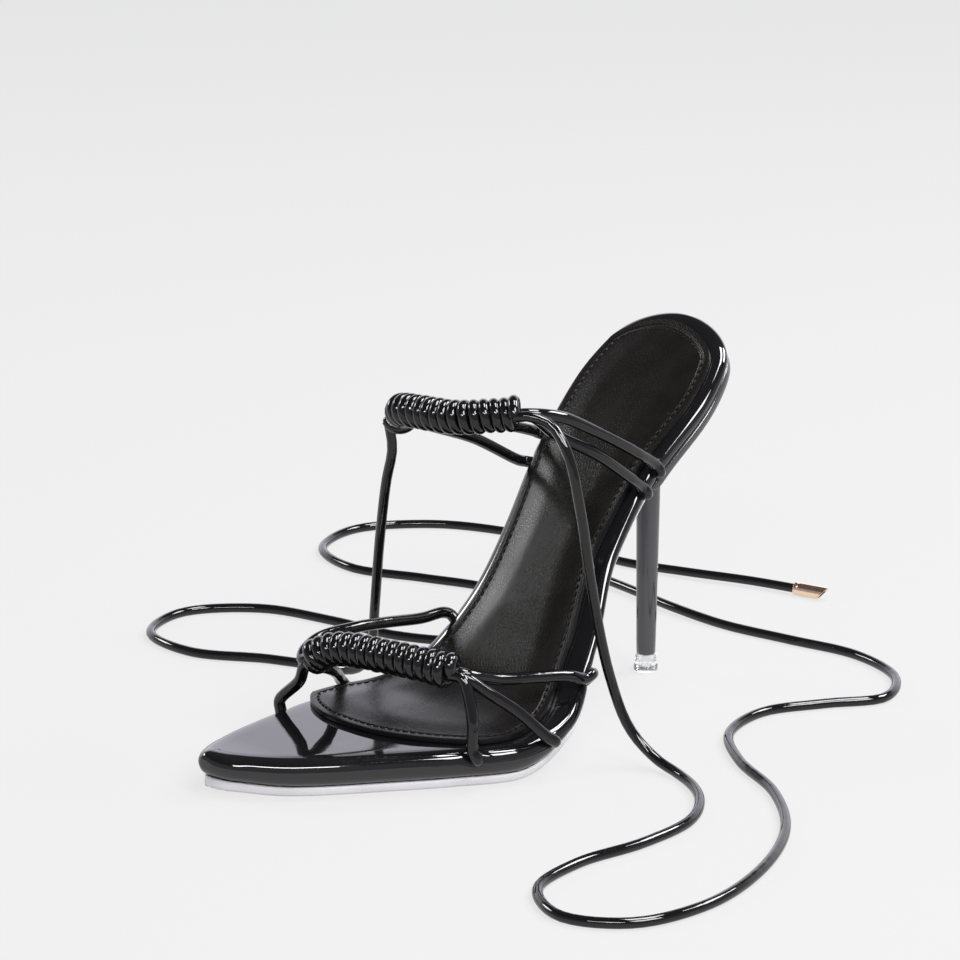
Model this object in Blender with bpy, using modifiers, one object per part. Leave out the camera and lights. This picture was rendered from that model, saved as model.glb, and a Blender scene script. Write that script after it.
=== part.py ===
"""Lace-up stiletto sandal for a left foot, standing on its sole and heel tip.

The last's own frame has the toe tip at y = 0, the seat at +Y, the outer side at +X and the
floor at z = 0. An empty named sandal shifts that frame so that the origin ends up at the
middle of the shoe's footprint, on the floor.
"""
import math

import bmesh
import bpy
from mathutils import Matrix, Vector

MM = 0.001

# Driving dimensions of the last and the sole
SOLE_LENGTH = 192.8 * MM        # along the floor, from toe tip to the back of the seat
BALL_WIDTH = 78.4 * MM
HEEL_RISE = 108.3 * MM          # seat back above the ball
BOARD_THICKNESS = 8.9 * MM      # wrapped footbed board at the ball
OUTSOLE_THICKNESS = 3.0 * MM
OUTSOLE_INSET = 2.5 * MM
OUTSOLE_WAIST = (0.42, 0.62)    # shares of length between which it thins
OUTSOLE_WAIST_THINNING = 0.55   # share of its thickness
SOCK_THICKNESS = 1.5 * MM
GAP = 0.3 * MM                  # between pieces that are glued or stitched together

# Driving dimensions of the heel
HEEL_TIP_HEIGHT = 5.7 * MM
HEEL_TIP_RADIUS = 4.0 * MM
HEEL_POST_RADIUS = 3.2 * MM     # at the tip
HEEL_NECK_RADIUS = 3.9 * MM     # where the flare starts
HEEL_NECK_HEIGHT = 60.0 * MM
HEEL_POST_FROM_BACK = 16.6 * MM
HEEL_INSET = 1.2 * MM
HEEL_LIP = 2.4 * MM             # depth of the cup's upright rim

# Driving dimensions of the straps, wraps and ties
STRAND_RADIUS = 1.9 * MM
STRAND_STAGGER = 0.6 * MM       # between the strands' starts inside a wrap
CORE_RADIUS = 3.5 * MM          # strands bundled inside a wrap
CORE_OVERHANG = 2.4 * MM
CORE_STEP = 6.0 * MM            # between the rings of a core
WRAP_RADIUS = 5.5 * MM
WRAP_GROOVE = 0.8 * MM
WRAP_PITCH = 3.3 * MM
WRAP_BORE_STEP = 5.0 * MM       # between the rings inside a wrap
FRONT_WRAP_HEIGHT = 37.4 * MM   # crown of the front wrap above the floor
ANKLE_WRAP_HEIGHT = 106.4 * MM
TIE_RADIUS = 1.65 * MM
TIE_LENGTH = 700.0 * MM
TIP_RADIUS = 2.4 * MM
TIP_WALL = 0.45 * MM
TIP_LENGTH = 13.0 * MM
TIP_GRIP = 5.0 * MM             # length of tie inside its metal tip
TIP_SLANT = math.radians(40.0)

LEAST_HALF_WIDTH = 0.6 * MM     # of any section, right at the toe tip and the seat's back
ROUND_END = 0.10                # turn left free at the back of the sock and of the heel cup
FOREFOOT_HEIGHT = OUTSOLE_THICKNESS + GAP + BOARD_THICKNESS

# Sections of the last: share of length, middle line (share of ball width, + outwards), half
# width (share of ball width), height (share of heel rise), board thickness (share).
COLUMNS = ("share", "middle", "half width", "height", "thickness")
SECTIONS = (
    (0.000, -0.252, 0.000, 0.012, 0.87),
    (0.030, -0.209, 0.131, 0.004, 0.93),
    (0.089, -0.154, 0.240, 0.000, 1.00),
    (0.187, -0.084, 0.349, 0.000, 1.00),
    (0.285, -0.011, 0.440, 0.000, 1.00),
    (0.383, 0.062, 0.500, 0.000, 0.98),
    (0.481, 0.100, 0.470, 0.040, 0.66),
    (0.579, 0.087, 0.372, 0.200, 0.56),
    (0.677, 0.031, 0.310, 0.421, 0.60),
    (0.775, 0.001, 0.328, 0.627, 0.66),
    (0.873, 0.004, 0.357, 0.788, 0.66),
    (0.947, 0.000, 0.320, 0.901, 0.64),
    (1.000, -0.012, 0.000, 1.000, 0.64),
)

# Side of the board. Columns: inset and depth below the top, both shares of its thickness.
BOARD_EDGE = (
    (0.62, 0.00),
    (0.34, 0.03),
    (0.13, 0.14),
    (0.03, 0.32),
    (0.00, 0.52),
    (0.05, 0.72),
    (0.16, 0.89),
    (0.34, 1.00),
)

# Bare rim between the sock and the board's edge. Columns: share of length, millimetres on the
# outer side, millimetres on the inner side.
SOCK_RIM = (
    (0.00, 5.0, 1.0),
    (0.30, 5.2, 1.2),
    (0.42, 7.4, 3.4),
    (0.50, 8.8, 5.4),
    (0.62, 6.4, 5.0),
    (0.75, 4.2, 4.0),
    (1.00, 3.5, 3.5),
)
SOCK_FRONT = 0.236              # share of length where its front edge crosses the middle
SOCK_CORNER_OUTER = 0.090       # how much further back the front edge ends at each side
SOCK_CORNER_INNER = 0.062
SOCK_COLUMNS = (-1.0, -0.94, -0.78, -0.5, -0.2, 0.2, 0.5, 0.78, 0.94, 1.0)

OUTSOLE_END = 0.750             # share of length, just ahead of the heel's breast
HEEL_BREAST = 0.763
HEEL_SEAT_MIDDLE = 0.89
HEEL_FLARE = 2.8                # power of the flare between the post and the cup
HEEL_FLARE_RISE = 0.85
HEEL_LEVELS = (0.12, 0.25, 0.38, 0.51, 0.64, 0.76, 0.87, 0.95)

# Middle line of each wrap. Columns: across (share of ball width), along (share of length),
# up (share of the wrap's own height); rows run from the outer end to the inner end.
FRONT_WRAP_LINE = (
    (0.357, 0.305, 0.963),
    (0.077, 0.268, 1.000),
    (-0.160, 0.246, 0.965),
    (-0.268, 0.234, 0.834),
)
ANKLE_WRAP_LINE = (
    (0.255, 0.491, 1.019),
    (0.064, 0.439, 1.000),
    (-0.250, 0.438, 0.977),
    (-0.336, 0.471, 0.940),
)

# How a strand ends in the board: three points, at its shoulder, in its mouth and at its end.
# Columns: depth below the board's top, out from its outline (shares of the strand's radius).
ENTRIES = {
    "over": ((-0.36, 0.40), (0.95, 0.80), (1.97, -1.16)),
    "down": ((-1.00, 0.05), (0.60, -0.15), (2.10, -0.45)),
    "beside": ((-0.50, 1.20), (0.85, 0.95), (1.75, -1.00)),
}

# Strands. Each has a side (1 outer, -1 inner), its entry, its foot and the place where it
# passes the board's shoulder (shares of length), and via points on the straight line from the
# wrap's end to that shoulder. Columns of a via point: share of the line, outwards, backwards,
# up (shares of ball width).
FRONT_STRANDS = (
    (1, "over", 0.312, 0.306, ((0.30, 0.019, 0.000, 0.000), (0.65, 0.026, -0.004, 0.000))),
    (1, "over", 0.435, 0.424, ((0.30, 0.000, -0.012, 0.012), (0.65, 0.004, 0.000, 0.014))),
    (1, "over", 0.549, 0.536, (
        (0.30, -0.004, 0.000, -0.020),
        (0.60, 0.008, 0.000, 0.000),
        (0.87, 0.016, 0.000, 0.016),
    )),
    (-1, "down", 0.230, 0.230, ((0.45, -0.013, 0.012, -0.008),)),
    (-1, "down", 0.377, 0.366, ((0.35, -0.014, 0.046, -0.004), (0.75, 0.004, 0.034, 0.000))),
    (-1, "beside", 0.560, 0.556, (
        (0.06, 0.048, 0.004, 0.022),
        (0.16, 0.046, 0.004, 0.058),
        (0.38, 0.019, 0.000, 0.068),
        (0.60, 0.014, 0.000, 0.050),
        (0.85, 0.010, 0.000, 0.018),
    )),
)
ANKLE_STRANDS = (
    (1, "over", 0.750, 0.753, (
        (0.25, 0.000, 0.000, -0.014),
        (0.52, 0.044, 0.000, 0.000),
        (0.84, 0.026, 0.000, 0.000),
    )),
    (1, "over", 0.780, 0.783, (
        (0.20, 0.030, 0.000, 0.034),
        (0.46, 0.046, 0.000, 0.033),
        (0.78, 0.034, 0.000, 0.018),
    )),
    (-1, "beside", 0.750, 0.747, ((0.20, 0.000, 0.000, 0.000), (0.62, 0.010, 0.000, 0.020))),
    (-1, "beside", 0.788, 0.785, ((0.25, 0.004, 0.000, 0.006), (0.58, 0.010, 0.000, 0.016))),
)

# Routes of the ties in millimetres in the last's frame, after the point where each leaves its
# end of the ankle wrap. They hang to the floor and lie there in loose bends.
TIE_LATERAL = (
    (32.0, 96.5, 107.0),
    (38.5, 97.5, 99.0),
    (42.5, 99.0, 82.0),
    (46.0, 101.0, 56.0),
    (50.0, 104.5, 30.0),
    (55.5, 108.0, 12.5),
    (64.0, 110.5, 4.2),
    (76.0, 109.5, 1.7),
    (91.0, 101.0, 1.7),
    (102.0, 85.0, 1.7),
    (104.0, 62.0, 1.7),
    (101.0, 38.0, 1.7),
    (106.0, 16.0, 1.7),
    (124.0, 7.0, 1.7),
    (141.0, 18.0, 1.7),
    (147.0, 42.0, 1.7),
    (141.0, 72.0, 1.7),
    (126.0, 100.0, 1.7),
    (104.0, 120.0, 1.7),
    (80.0, 132.0, 1.7),
    (62.0, 148.0, 1.7),
    (57.0, 170.0, 1.7),
    (66.0, 190.0, 1.7),
    (76.0, 208.0, 1.7),
    (66.0, 226.0, 1.7),
    (43.0, 234.0, 1.7),
    (17.0, 230.0, 1.7),
    (-9.0, 226.0, 1.7),
    (-34.0, 226.0, 2.45),
    (-58.0, 230.0, 2.45),
    (-90.0, 234.0, 2.45),
)
TIE_MEDIAL = (
    (-31.5, 90.5, 88.0),
    (-34.5, 90.5, 76.0),
    (-39.0, 91.5, 54.0),
    (-44.0, 94.0, 32.0),
    (-50.0, 97.5, 14.5),
    (-59.0, 100.0, 4.8),
    (-71.0, 99.5, 1.7),
    (-93.0, 91.0, 1.7),
    (-117.0, 77.0, 1.7),
    (-142.0, 80.0, 1.7),
    (-151.0, 102.0, 1.7),
    (-135.0, 124.0, 1.7),
    (-107.0, 133.0, 1.7),
    (-80.0, 138.0, 1.7),
    (-60.0, 151.0, 1.7),
    (-54.0, 173.0, 1.7),
    (-68.0, 193.0, 1.7),
    (-94.0, 197.0, 1.7),
    (-120.0, 188.0, 1.7),
    (-146.0, 178.0, 1.7),
    (-171.0, 186.0, 1.7),
    (-180.0, 211.0, 1.7),
    (-164.0, 236.0, 1.7),
    (-138.0, 249.0, 1.7),
    (-110.0, 253.0, 1.7),
    (-82.0, 253.0, 1.7),
    (-56.0, 259.0, 2.45),
    (-32.0, 268.0, 2.45),
    (0.0, 276.0, 2.45),
)


# Tables and curves

def smooth_value(rows, column, at, key=lambda row: row[0]):
    """Monotone cubic through one column of a table."""
    xs = [key(row) for row in rows]
    ys = [row[column] for row in rows]
    if at <= xs[0]:
        return ys[0]
    if at >= xs[-1]:
        return ys[-1]
    steps = [(ys[i + 1] - ys[i]) / (xs[i + 1] - xs[i]) for i in range(len(xs) - 1)]
    slopes = [steps[0]]
    for before, after in zip(steps, steps[1:]):
        slopes.append(0.0 if before * after <= 0 else 2 * before * after / (before + after))
    slopes.append(steps[-1])
    i = next(k for k in range(len(xs) - 1) if at <= xs[k + 1])
    span = xs[i + 1] - xs[i]
    u = (at - xs[i]) / span
    rise = (ys[i + 1] - ys[i]) * (3 * u * u - 2 * u * u * u)
    bend = span * (slopes[i] * (u - 2 * u * u + u ** 3) + slopes[i + 1] * (u ** 3 - u * u))
    return ys[i] + rise + bend


def turn_of(share):
    """Angle that runs from 0 at the toe tip to pi at the seat's back, so that ends stay round."""
    return math.acos(1 - 2 * min(max(share, 0.0), 1.0))


def share_of(turn):
    return (1 - math.cos(turn)) / 2


def outline_value(turn, column):
    index = COLUMNS.index(column)
    return BALL_WIDTH * smooth_value(SECTIONS, index, turn, key=lambda row: turn_of(row[0]))


def smooth_route(points, spacing):
    """Evenly spaced points on a centripetal Catmull-Rom curve through the given points."""
    points = [Vector(p) for p in points]
    ends = [2 * points[0] - points[1]] + points + [2 * points[-1] - points[-2]]
    dense = []
    for a, b, c, d in zip(ends, ends[1:], ends[2:], ends[3:]):
        t1 = math.sqrt((b - a).length)
        t2 = t1 + math.sqrt((c - b).length)
        t3 = t2 + math.sqrt((d - c).length)
        for k in range(16):
            t = t1 + (t2 - t1) * k / 16
            ab = a.lerp(b, t / t1)
            bc = b.lerp(c, (t - t1) / (t2 - t1))
            cd = c.lerp(d, (t - t2) / (t3 - t2))
            abc = ab.lerp(bc, t / t2)
            bcd = bc.lerp(cd, (t - t1) / (t3 - t1))
            dense.append(abc.lerp(bcd, (t - t1) / (t2 - t1)))
    dense.append(points[-1])
    return spread(dense, spacing)


def spread(dense, spacing):
    """The same line with its points spaced evenly."""
    reach = [0.0]
    for before, after in zip(dense, dense[1:]):
        reach.append(reach[-1] + (after - before).length)
    count = max(2, round(reach[-1] / spacing))
    result, i = [], 0
    for k in range(count + 1):
        target = reach[-1] * k / count
        while i < len(dense) - 2 and reach[i + 1] < target:
            i += 1
        part = (target - reach[i]) / (reach[i + 1] - reach[i])
        result.append(dense[i].lerp(dense[i + 1], part))
    return result


def cut_to_length(points, length):
    """The first stretch of a line, ending at the given length along it."""
    result = [points[0]]
    left = length
    for before, after in zip(points, points[1:]):
        step = (after - before).length
        if step >= left:
            result.append(before.lerp(after, left / step))
            break
        result.append(after)
        left -= step
    return result


# The last's surface

def edge_point(turn, side, inset=0.0):
    """Plan point on the last's outline, moved in by the inset at right angles to the edge."""
    def plain(angle):
        across = outline_value(angle, "middle") + side * outline_value(angle, "half width")
        return Vector((across, SOLE_LENGTH * share_of(angle)))
    step = 0.004
    along = plain(min(turn + step, math.pi)) - plain(max(turn - step, 0.0))
    inward = Vector((-side * along.y, side * along.x)).normalized()
    point = plain(turn) + inward * inset
    middle = outline_value(turn, "middle")
    point.x = middle + side * max(side * (point.x - middle), LEAST_HALF_WIDTH)
    return point


def top_height(y):
    return FOREFOOT_HEIGHT + HEEL_RISE * smooth_value(SECTIONS, COLUMNS.index("height"), y / SOLE_LENGTH)


def board_depth(y):
    return BOARD_THICKNESS * smooth_value(SECTIONS, COLUMNS.index("thickness"), y / SOLE_LENGTH)


def on_last(x, y, depth=0.0):
    """Point at a depth below the top of the board, measured square to its slope."""
    step = 0.5 * MM
    slope = math.atan2(top_height(y + step) - top_height(y - step), 2 * step)
    return Vector((x, y + depth * math.sin(slope), top_height(y) - depth * math.cos(slope)))


def side_point(share, side, depth, out):
    """Point beside the board's edge: depth below its top, out from its outline."""
    edge = edge_point(turn_of(share), side, -out)
    return on_last(edge.x, edge.y, depth)


def turns_between(first, last, count):
    return [first + (last - first) * k / (count - 1) for k in range(count)]


# The board and the outsole share their stations, so their facets run side by side
STATIONS = turns_between(0.07, math.pi - 0.07, 46)
ACROSS = (0.0, 0.25, 0.5, 0.75, 1.0)


# Blender helpers

def clear_scene():
    for obj in list(bpy.data.objects):
        bpy.data.objects.remove(obj, do_unlink=True)


def make_material(name, color, roughness, metallic=0.0, alpha=1.0):
    material = bpy.data.materials.new(name)
    material.use_nodes = True
    shader = material.node_tree.nodes["Principled BSDF"]
    shader.inputs["Base Color"].default_value = (*color, 1.0)
    shader.inputs["Roughness"].default_value = roughness
    shader.inputs["Metallic"].default_value = metallic
    shader.inputs["Alpha"].default_value = alpha
    material.diffuse_color = (*color, alpha)
    return material


def add_object(name, data, collection, material=None, parent=None):
    obj = bpy.data.objects.new(name, data)
    collection.objects.link(obj)
    if material:
        data.materials.append(material)
    obj.parent = parent
    return obj


def finish_mesh(mesh, name, solid=True):
    mesh_data = bpy.data.meshes.new(name)
    if solid:
        bmesh.ops.recalc_face_normals(mesh, faces=mesh.faces)
    mesh.to_mesh(mesh_data)
    mesh.free()
    mesh_data.shade_smooth()
    mesh_data.set_sharp_from_angle(angle=math.radians(35))
    return mesh_data


def loft(name, rings, closed=False):
    """Skin over rings with equal point counts; the ends are capped unless the loft is closed."""
    mesh = bmesh.new()
    rows = [[mesh.verts.new(point) for point in ring] for ring in rings]
    pairs = list(zip(rows, rows[1:]))
    if closed:
        pairs.append((rows[-1], rows[0]))
    for lower, upper in pairs:
        for k in range(len(lower)):
            after = (k + 1) % len(lower)
            mesh.faces.new((lower[k], lower[after], upper[after], upper[k]))
    if not closed:
        mesh.faces.new(rows[0])
        mesh.faces.new(rows[-1])
    bmesh.ops.triangulate(mesh, faces=[f for f in mesh.faces if len(f.verts) > 4])
    return finish_mesh(mesh, name)


def tube_mesh(name, points, radius, sides=8):
    """Round tube along a line, from a curve with a bevel and filled caps."""
    curve = bpy.data.curves.new(name, "CURVE")
    curve.dimensions = "3D"
    curve.bevel_depth = radius
    curve.bevel_resolution = sides // 4
    curve.use_fill_caps = True
    spline = curve.splines.new("POLY")
    spline.points.add(len(points) - 1)
    for slot, point in zip(spline.points, points):
        slot.co = (*point, 1.0)
    guide = bpy.data.objects.new(name, curve)
    bpy.context.scene.collection.objects.link(guide)
    evaluated = guide.evaluated_get(bpy.context.evaluated_depsgraph_get())
    mesh = bmesh.new()
    solid = bpy.data.meshes.new_from_object(evaluated)
    mesh.from_mesh(solid)
    bpy.data.objects.remove(guide, do_unlink=True)
    bmesh.ops.remove_doubles(mesh, verts=mesh.verts, dist=0.001 * MM)
    return finish_mesh(mesh, name)


def boolean(obj, other, operation):
    modifier = obj.modifiers.new(other.name, "BOOLEAN")
    modifier.operation = operation
    modifier.solver = "EXACT"
    modifier.use_self = operation == "UNION"    # a strand's tight bends may cross themselves
    modifier.object = other


def hide_guide(obj):
    obj.hide_render = True
    obj.display_type = "WIRE"


# Sole pieces

def board_ring(turn):
    """Cross-section of the board: over the top, round one side, underneath and back."""
    half = []
    for side in (1, -1):
        edge = []
        for inset, depth in BOARD_EDGE:
            plan = edge_point(turn, side, inset * BOARD_THICKNESS)
            edge.append((plan, depth))
        half.append(edge)
    outer, inner = half
    top = [(inner[0][0].lerp(outer[0][0], share), 0.0) for share in ACROSS[1:-1]]
    under = [(outer[-1][0].lerp(inner[-1][0], share), 1.0) for share in ACROSS[1:-1]]
    line = top + outer + under + inner[::-1]
    return [on_last(plan.x, plan.y, depth * board_depth(plan.y)) for plan, depth in line]


def make_footbed():
    return loft("footbed", [board_ring(turn) for turn in STATIONS])


def outsole_ring(turn):
    """Flat strip under the board; the tread is cut level where it would pass the floor."""
    outer = edge_point(turn, 1, OUTSOLE_INSET)
    inner = edge_point(turn, -1, OUTSOLE_INSET)
    thinning = OUTSOLE_WAIST_THINNING * smooth_step(*OUTSOLE_WAIST, share_of(turn))
    thickness = OUTSOLE_THICKNESS * (1.0 - thinning)
    upper, lower = [], []
    for share in ACROSS:
        plan = outer.lerp(inner, share)
        top = on_last(plan.x, plan.y, board_depth(plan.y) + GAP)
        bottom = on_last(plan.x, plan.y, board_depth(plan.y) + GAP + thickness)
        upper.append(top)
        lower.append(Vector((bottom.x, bottom.y, max(bottom.z, 0.0))))
    return upper + lower[::-1]


def smooth_step(low, high, value):
    share = min(max((value - low) / (high - low), 0.0), 1.0)
    return share * share * (3 - 2 * share)


def make_outsole():
    last = turn_of(OUTSOLE_END)
    turns = [turn for turn in STATIONS[1:] if turn < last - 0.02] + [last]
    return loft("outsole", [outsole_ring(turn) for turn in turns])


def make_insole():
    """Sock: an open sheet over the board, thickened upwards, with a curved front edge."""
    rows = 24
    mesh = bmesh.new()
    grid = []
    for k in range(rows):
        line = []
        for across in SOCK_COLUMNS:
            corner = SOCK_CORNER_OUTER if across > 0 else SOCK_CORNER_INNER
            front = turn_of(SOCK_FRONT + corner * abs(across) ** 2.6)
            turn = front + (math.pi - ROUND_END - front) * k / (rows - 1)
            outer = edge_point(turn, 1, smooth_value(SOCK_RIM, 1, share_of(turn)) * MM)
            inner = edge_point(turn, -1, smooth_value(SOCK_RIM, 2, share_of(turn)) * MM)
            plan = inner.lerp(outer, (across + 1) / 2)
            line.append(mesh.verts.new(on_last(plan.x, plan.y, -GAP)))
        grid.append(line)
    for near, far in zip(grid, grid[1:]):
        for k in range(len(near) - 1):
            mesh.faces.new((near[k], near[k + 1], far[k + 1], far[k]))
    return finish_mesh(mesh, "insole", solid=False)


def thicken(obj, thickness):
    modifier = obj.modifiers.new("thickness", "SOLIDIFY")
    modifier.thickness = thickness
    modifier.offset = 1.0
    modifier.use_even_offset = False


# Heel

def heel_outline(turn_count):
    """Closed plan line round the seat: outer side forwards, across the breast, inner side back."""
    breast = turn_of(HEEL_BREAST)
    back = math.pi - ROUND_END
    outer = [edge_point(turn, 1, HEEL_INSET) for turn in turns_between(back, breast, turn_count)]
    inner = [edge_point(turn, -1, HEEL_INSET) for turn in turns_between(breast, back, turn_count)]
    front = [outer[-1].lerp(inner[0], share) for share in (0.25, 0.5, 0.75)]
    return outer + front + inner


def make_heel():
    """Stiletto: a cup under the seat that flares from a thin round post."""
    outline = heel_outline(9)
    post_y = SOLE_LENGTH - HEEL_POST_FROM_BACK
    centre = Vector((0.0, post_y))
    angles = []
    for plan in outline:
        offset = plan - centre
        angles.append(math.atan2(offset.y, offset.x))

    def circle(radius, height):
        ring = []
        for angle in angles:
            ring.append(Vector((radius * math.cos(angle), post_y + radius * math.sin(angle), height)))
        return ring

    rings = [circle(HEEL_POST_RADIUS, HEEL_TIP_HEIGHT + GAP)]
    for share in (0.33, 0.67):
        height = HEEL_TIP_HEIGHT + GAP + (HEEL_NECK_HEIGHT - HEEL_TIP_HEIGHT - GAP) * share
        rings.append(circle(HEEL_POST_RADIUS + (HEEL_NECK_RADIUS - HEEL_POST_RADIUS) * share, height))
    neck = circle(HEEL_NECK_RADIUS, HEEL_NECK_HEIGHT)
    rings.append(neck)
    rim = [on_last(p.x, p.y, board_depth(p.y) + GAP) for p in outline]
    lip = [on_last(p.x, p.y, board_depth(p.y) + GAP + HEEL_LIP) for p in outline]
    for share in HEEL_LEVELS:
        flare = share ** HEEL_FLARE
        ring = []
        for low, high in zip(neck, lip):
            plan = low.lerp(high, flare)
            ring.append(Vector((plan.x, plan.y, low.z + (high.z - low.z) * share ** HEEL_FLARE_RISE)))
        rings.append(ring)
    rings += [lip, rim]
    seat = Vector((0.0, SOLE_LENGTH * HEEL_SEAT_MIDDLE))
    for share in (0.62, 0.22):
        ring = []
        for p in outline:
            plan = seat.lerp(p, share)
            ring.append(on_last(plan.x, plan.y, board_depth(plan.y) + GAP))
        rings.append(ring)
    return loft("heel", rings)


def make_heel_tip():
    mesh = bmesh.new()
    post_y = SOLE_LENGTH - HEEL_POST_FROM_BACK
    place = Matrix.Translation((0.0, post_y, HEEL_TIP_HEIGHT / 2))
    bmesh.ops.create_cone(mesh, cap_ends=True, segments=24, radius1=HEEL_TIP_RADIUS,
                          radius2=HEEL_TIP_RADIUS, depth=HEEL_TIP_HEIGHT, matrix=place)
    return finish_mesh(mesh, "heel_tip")


# Straps and wraps

def wrap_line(table, height):
    """Middle line of a wrap from its outer to its inner end, in short steps."""
    points = [(a * BALL_WIDTH, b * SOLE_LENGTH, c * height) for a, b, c in table]
    return smooth_route(points, 1 * MM)


def frames_along(line):
    """A point, a forward direction and two square directions at each point of a line."""
    frames = []
    for k, point in enumerate(line):
        ahead = (line[min(k + 1, len(line) - 1)] - line[max(k - 1, 0)]).normalized()
        upwards = (Vector((0, 0, 1)) - ahead * ahead.z).normalized()
        frames.append((point, ahead, upwards, ahead.cross(upwards)))
    return frames


def extend(line, reach):
    start = line[0] + (line[0] - line[1]).normalized() * reach
    end = line[-1] + (line[-1] - line[-2]).normalized() * reach
    return [start] + line + [end]


def make_wrap(name, line):
    """Cord wound round the strands: one hollow wall whose outside rises in a screw ridge."""
    sides = 9
    length = sum((b - a).length for a, b in zip(line, line[1:]))
    turns = round(length / WRAP_PITCH)
    outside, inside = [], []
    for k, (point, _, up, across) in enumerate(frames_along(spread(line, length / (4 * turns)))):
        ring = []
        for side in range(sides):
            angle = 2 * math.pi * side / sides
            wave = 0.5 - 0.5 * math.cos(2 * math.pi * k / 4 - angle)
            radius = WRAP_RADIUS - WRAP_GROOVE * (1 - wave)
            ring.append(point + (up * math.cos(angle) + across * math.sin(angle)) * radius)
        outside.append(ring)
    bore = (CORE_RADIUS + GAP) / math.cos(math.pi / sides)
    for point, _, up, across in frames_along(spread(line, WRAP_BORE_STEP)):
        ring = []
        for side in range(sides):
            angle = 2 * math.pi * side / sides
            ring.append(point + (up * math.cos(angle) + across * math.sin(angle)) * bore)
        inside.append(ring)
    return loft(name, outside + inside[::-1], closed=True)


def strand_route(line, row, number):
    """From its own place in the bundled core, past the board's shoulder and into its side."""
    side, entry, foot, shoulder, vias = row
    end, before = (line[0], line[1]) if side > 0 else (line[-1], line[-2])
    ahead = (end - before).normalized()
    ends = []
    for place, (depth, out) in zip((shoulder, foot, foot), ENTRIES[entry]):
        ends.append(side_point(place, side, depth * STRAND_RADIUS, out * STRAND_RADIUS))
    leave = end + ahead * (CORE_OVERHANG + STRAND_RADIUS / 2)
    route = []
    for share, out, back, up in vias:
        offset = Vector((side * out, back, up)) * BALL_WIDTH
        route.append(leave.lerp(ends[0], share) + offset)
    towards = route[0] - leave
    towards = (towards - ahead * towards.dot(ahead)).normalized()
    towards *= CORE_RADIUS - STRAND_RADIUS - GAP
    inside = end + towards - ahead * number * STRAND_STAGGER
    return smooth_route([inside, leave + towards] + route + ends, 3.0 * STRAND_RADIUS)


def make_straps(name, line, rows, parts, guides, material, parent):
    """Strands and their bundled core as one solid; returns it with a cutter for each strand."""
    core = spread(extend(line, CORE_OVERHANG), CORE_STEP)
    straps = add_object(name, tube_mesh(name, core, CORE_RADIUS, 12), parts, material, parent)
    sockets = []
    for number, row in enumerate(rows, 1):
        route = strand_route(line, row, number)
        strand_name = f"{name}_strand_{number}"
        tube = tube_mesh(strand_name, route, STRAND_RADIUS)
        strand = add_object(strand_name, tube, guides, None, parent)
        hide_guide(strand)
        boolean(straps, strand, "UNION")
        foot = route[-4:]
        foot[-1] = foot[-1] + (foot[-1] - foot[-2]).normalized() * GAP
        socket_name = f"{name}_socket_{number}"
        tube = tube_mesh(socket_name, foot, STRAND_RADIUS + GAP)
        socket = add_object(socket_name, tube, guides, None, parent)
        hide_guide(socket)
        sockets.append(socket)
    return straps, sockets


# Ties

def tie_route(line, side, points):
    """Centre line of a tie: from beside the wrap's end, through its own points, cut to length."""
    end, before = (line[0], line[1]) if side > 0 else (line[-1], line[-2])
    ahead = (end - before).normalized()
    forward = Vector((0, -1, 0))
    forward = (forward - ahead * forward.dot(ahead)).normalized()
    start = end + forward * (CORE_RADIUS + TIE_RADIUS + GAP) + ahead * 2 * GAP
    route = [start, start + ahead * 2 * TIE_RADIUS]
    route += [Vector(point) * MM for point in points]
    route = smooth_route(route, 2 * TIE_RADIUS)
    for point in route:
        point.z = max(point.z, TIE_RADIUS)
    return cut_to_length(route, TIE_LENGTH)


def make_tip(name, end, ahead, parts, guides, material, parent):
    """Metal tube over a tie's end, its open mouth cut on a slant."""
    profile = bmesh.new()
    corners = []
    for radius, height in ((TIP_RADIUS, TIP_LENGTH), (TIP_RADIUS, 0.0),
                           (TIP_RADIUS - TIP_WALL, 0.0), (TIP_RADIUS - TIP_WALL, TIP_LENGTH)):
        corners.append(profile.verts.new((radius, 0.0, height)))
    for k in range(4):
        profile.edges.new((corners[k], corners[(k + 1) % 4]))
    mesh = bpy.data.meshes.new(name)
    profile.to_mesh(mesh)
    profile.free()
    tip = add_object(name, mesh, parts, material, parent)
    aimed = ahead.to_track_quat("Z", "Y").to_matrix().to_4x4()
    tip.matrix_local = Matrix.Translation(end - ahead * TIP_GRIP) @ aimed
    screw = tip.modifiers.new("turned", "SCREW")
    screw.steps = 16
    screw.render_steps = 16
    screw.use_merge_vertices = True
    screw.merge_threshold = 0.001 * MM
    screw.use_normal_calculate = True

    block = bmesh.new()
    size = 4 * TIP_RADIUS
    bmesh.ops.create_cube(block, size=size)
    cutter = add_object(f"{name}_slant", finish_mesh(block, f"{name}_slant"), guides, None, tip)
    hide_guide(cutter)
    turned = Matrix.Rotation(TIP_SLANT, 4, "X")
    raised = Matrix.Translation((0, 0, size / 2))
    middle = Matrix.Translation((0, 0, TIP_LENGTH - TIP_RADIUS * math.tan(TIP_SLANT)))
    cutter.matrix_local = middle @ turned @ raised
    boolean(tip, cutter, "DIFFERENCE")
    return tip


# Assembly

def footprint_middle():
    """Halfway between the widest points of the two sides, and between toe tip and heel cup."""
    turns = turns_between(0.0, math.pi, 90)
    outer = max(edge_point(turn, 1).x for turn in turns)
    inner = min(edge_point(turn, -1).x for turn in turns)
    cup = on_last(0.0, SOLE_LENGTH, board_depth(SOLE_LENGTH) + GAP + HEEL_LIP)
    return (outer + inner) / 2, cup.y / 2


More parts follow.
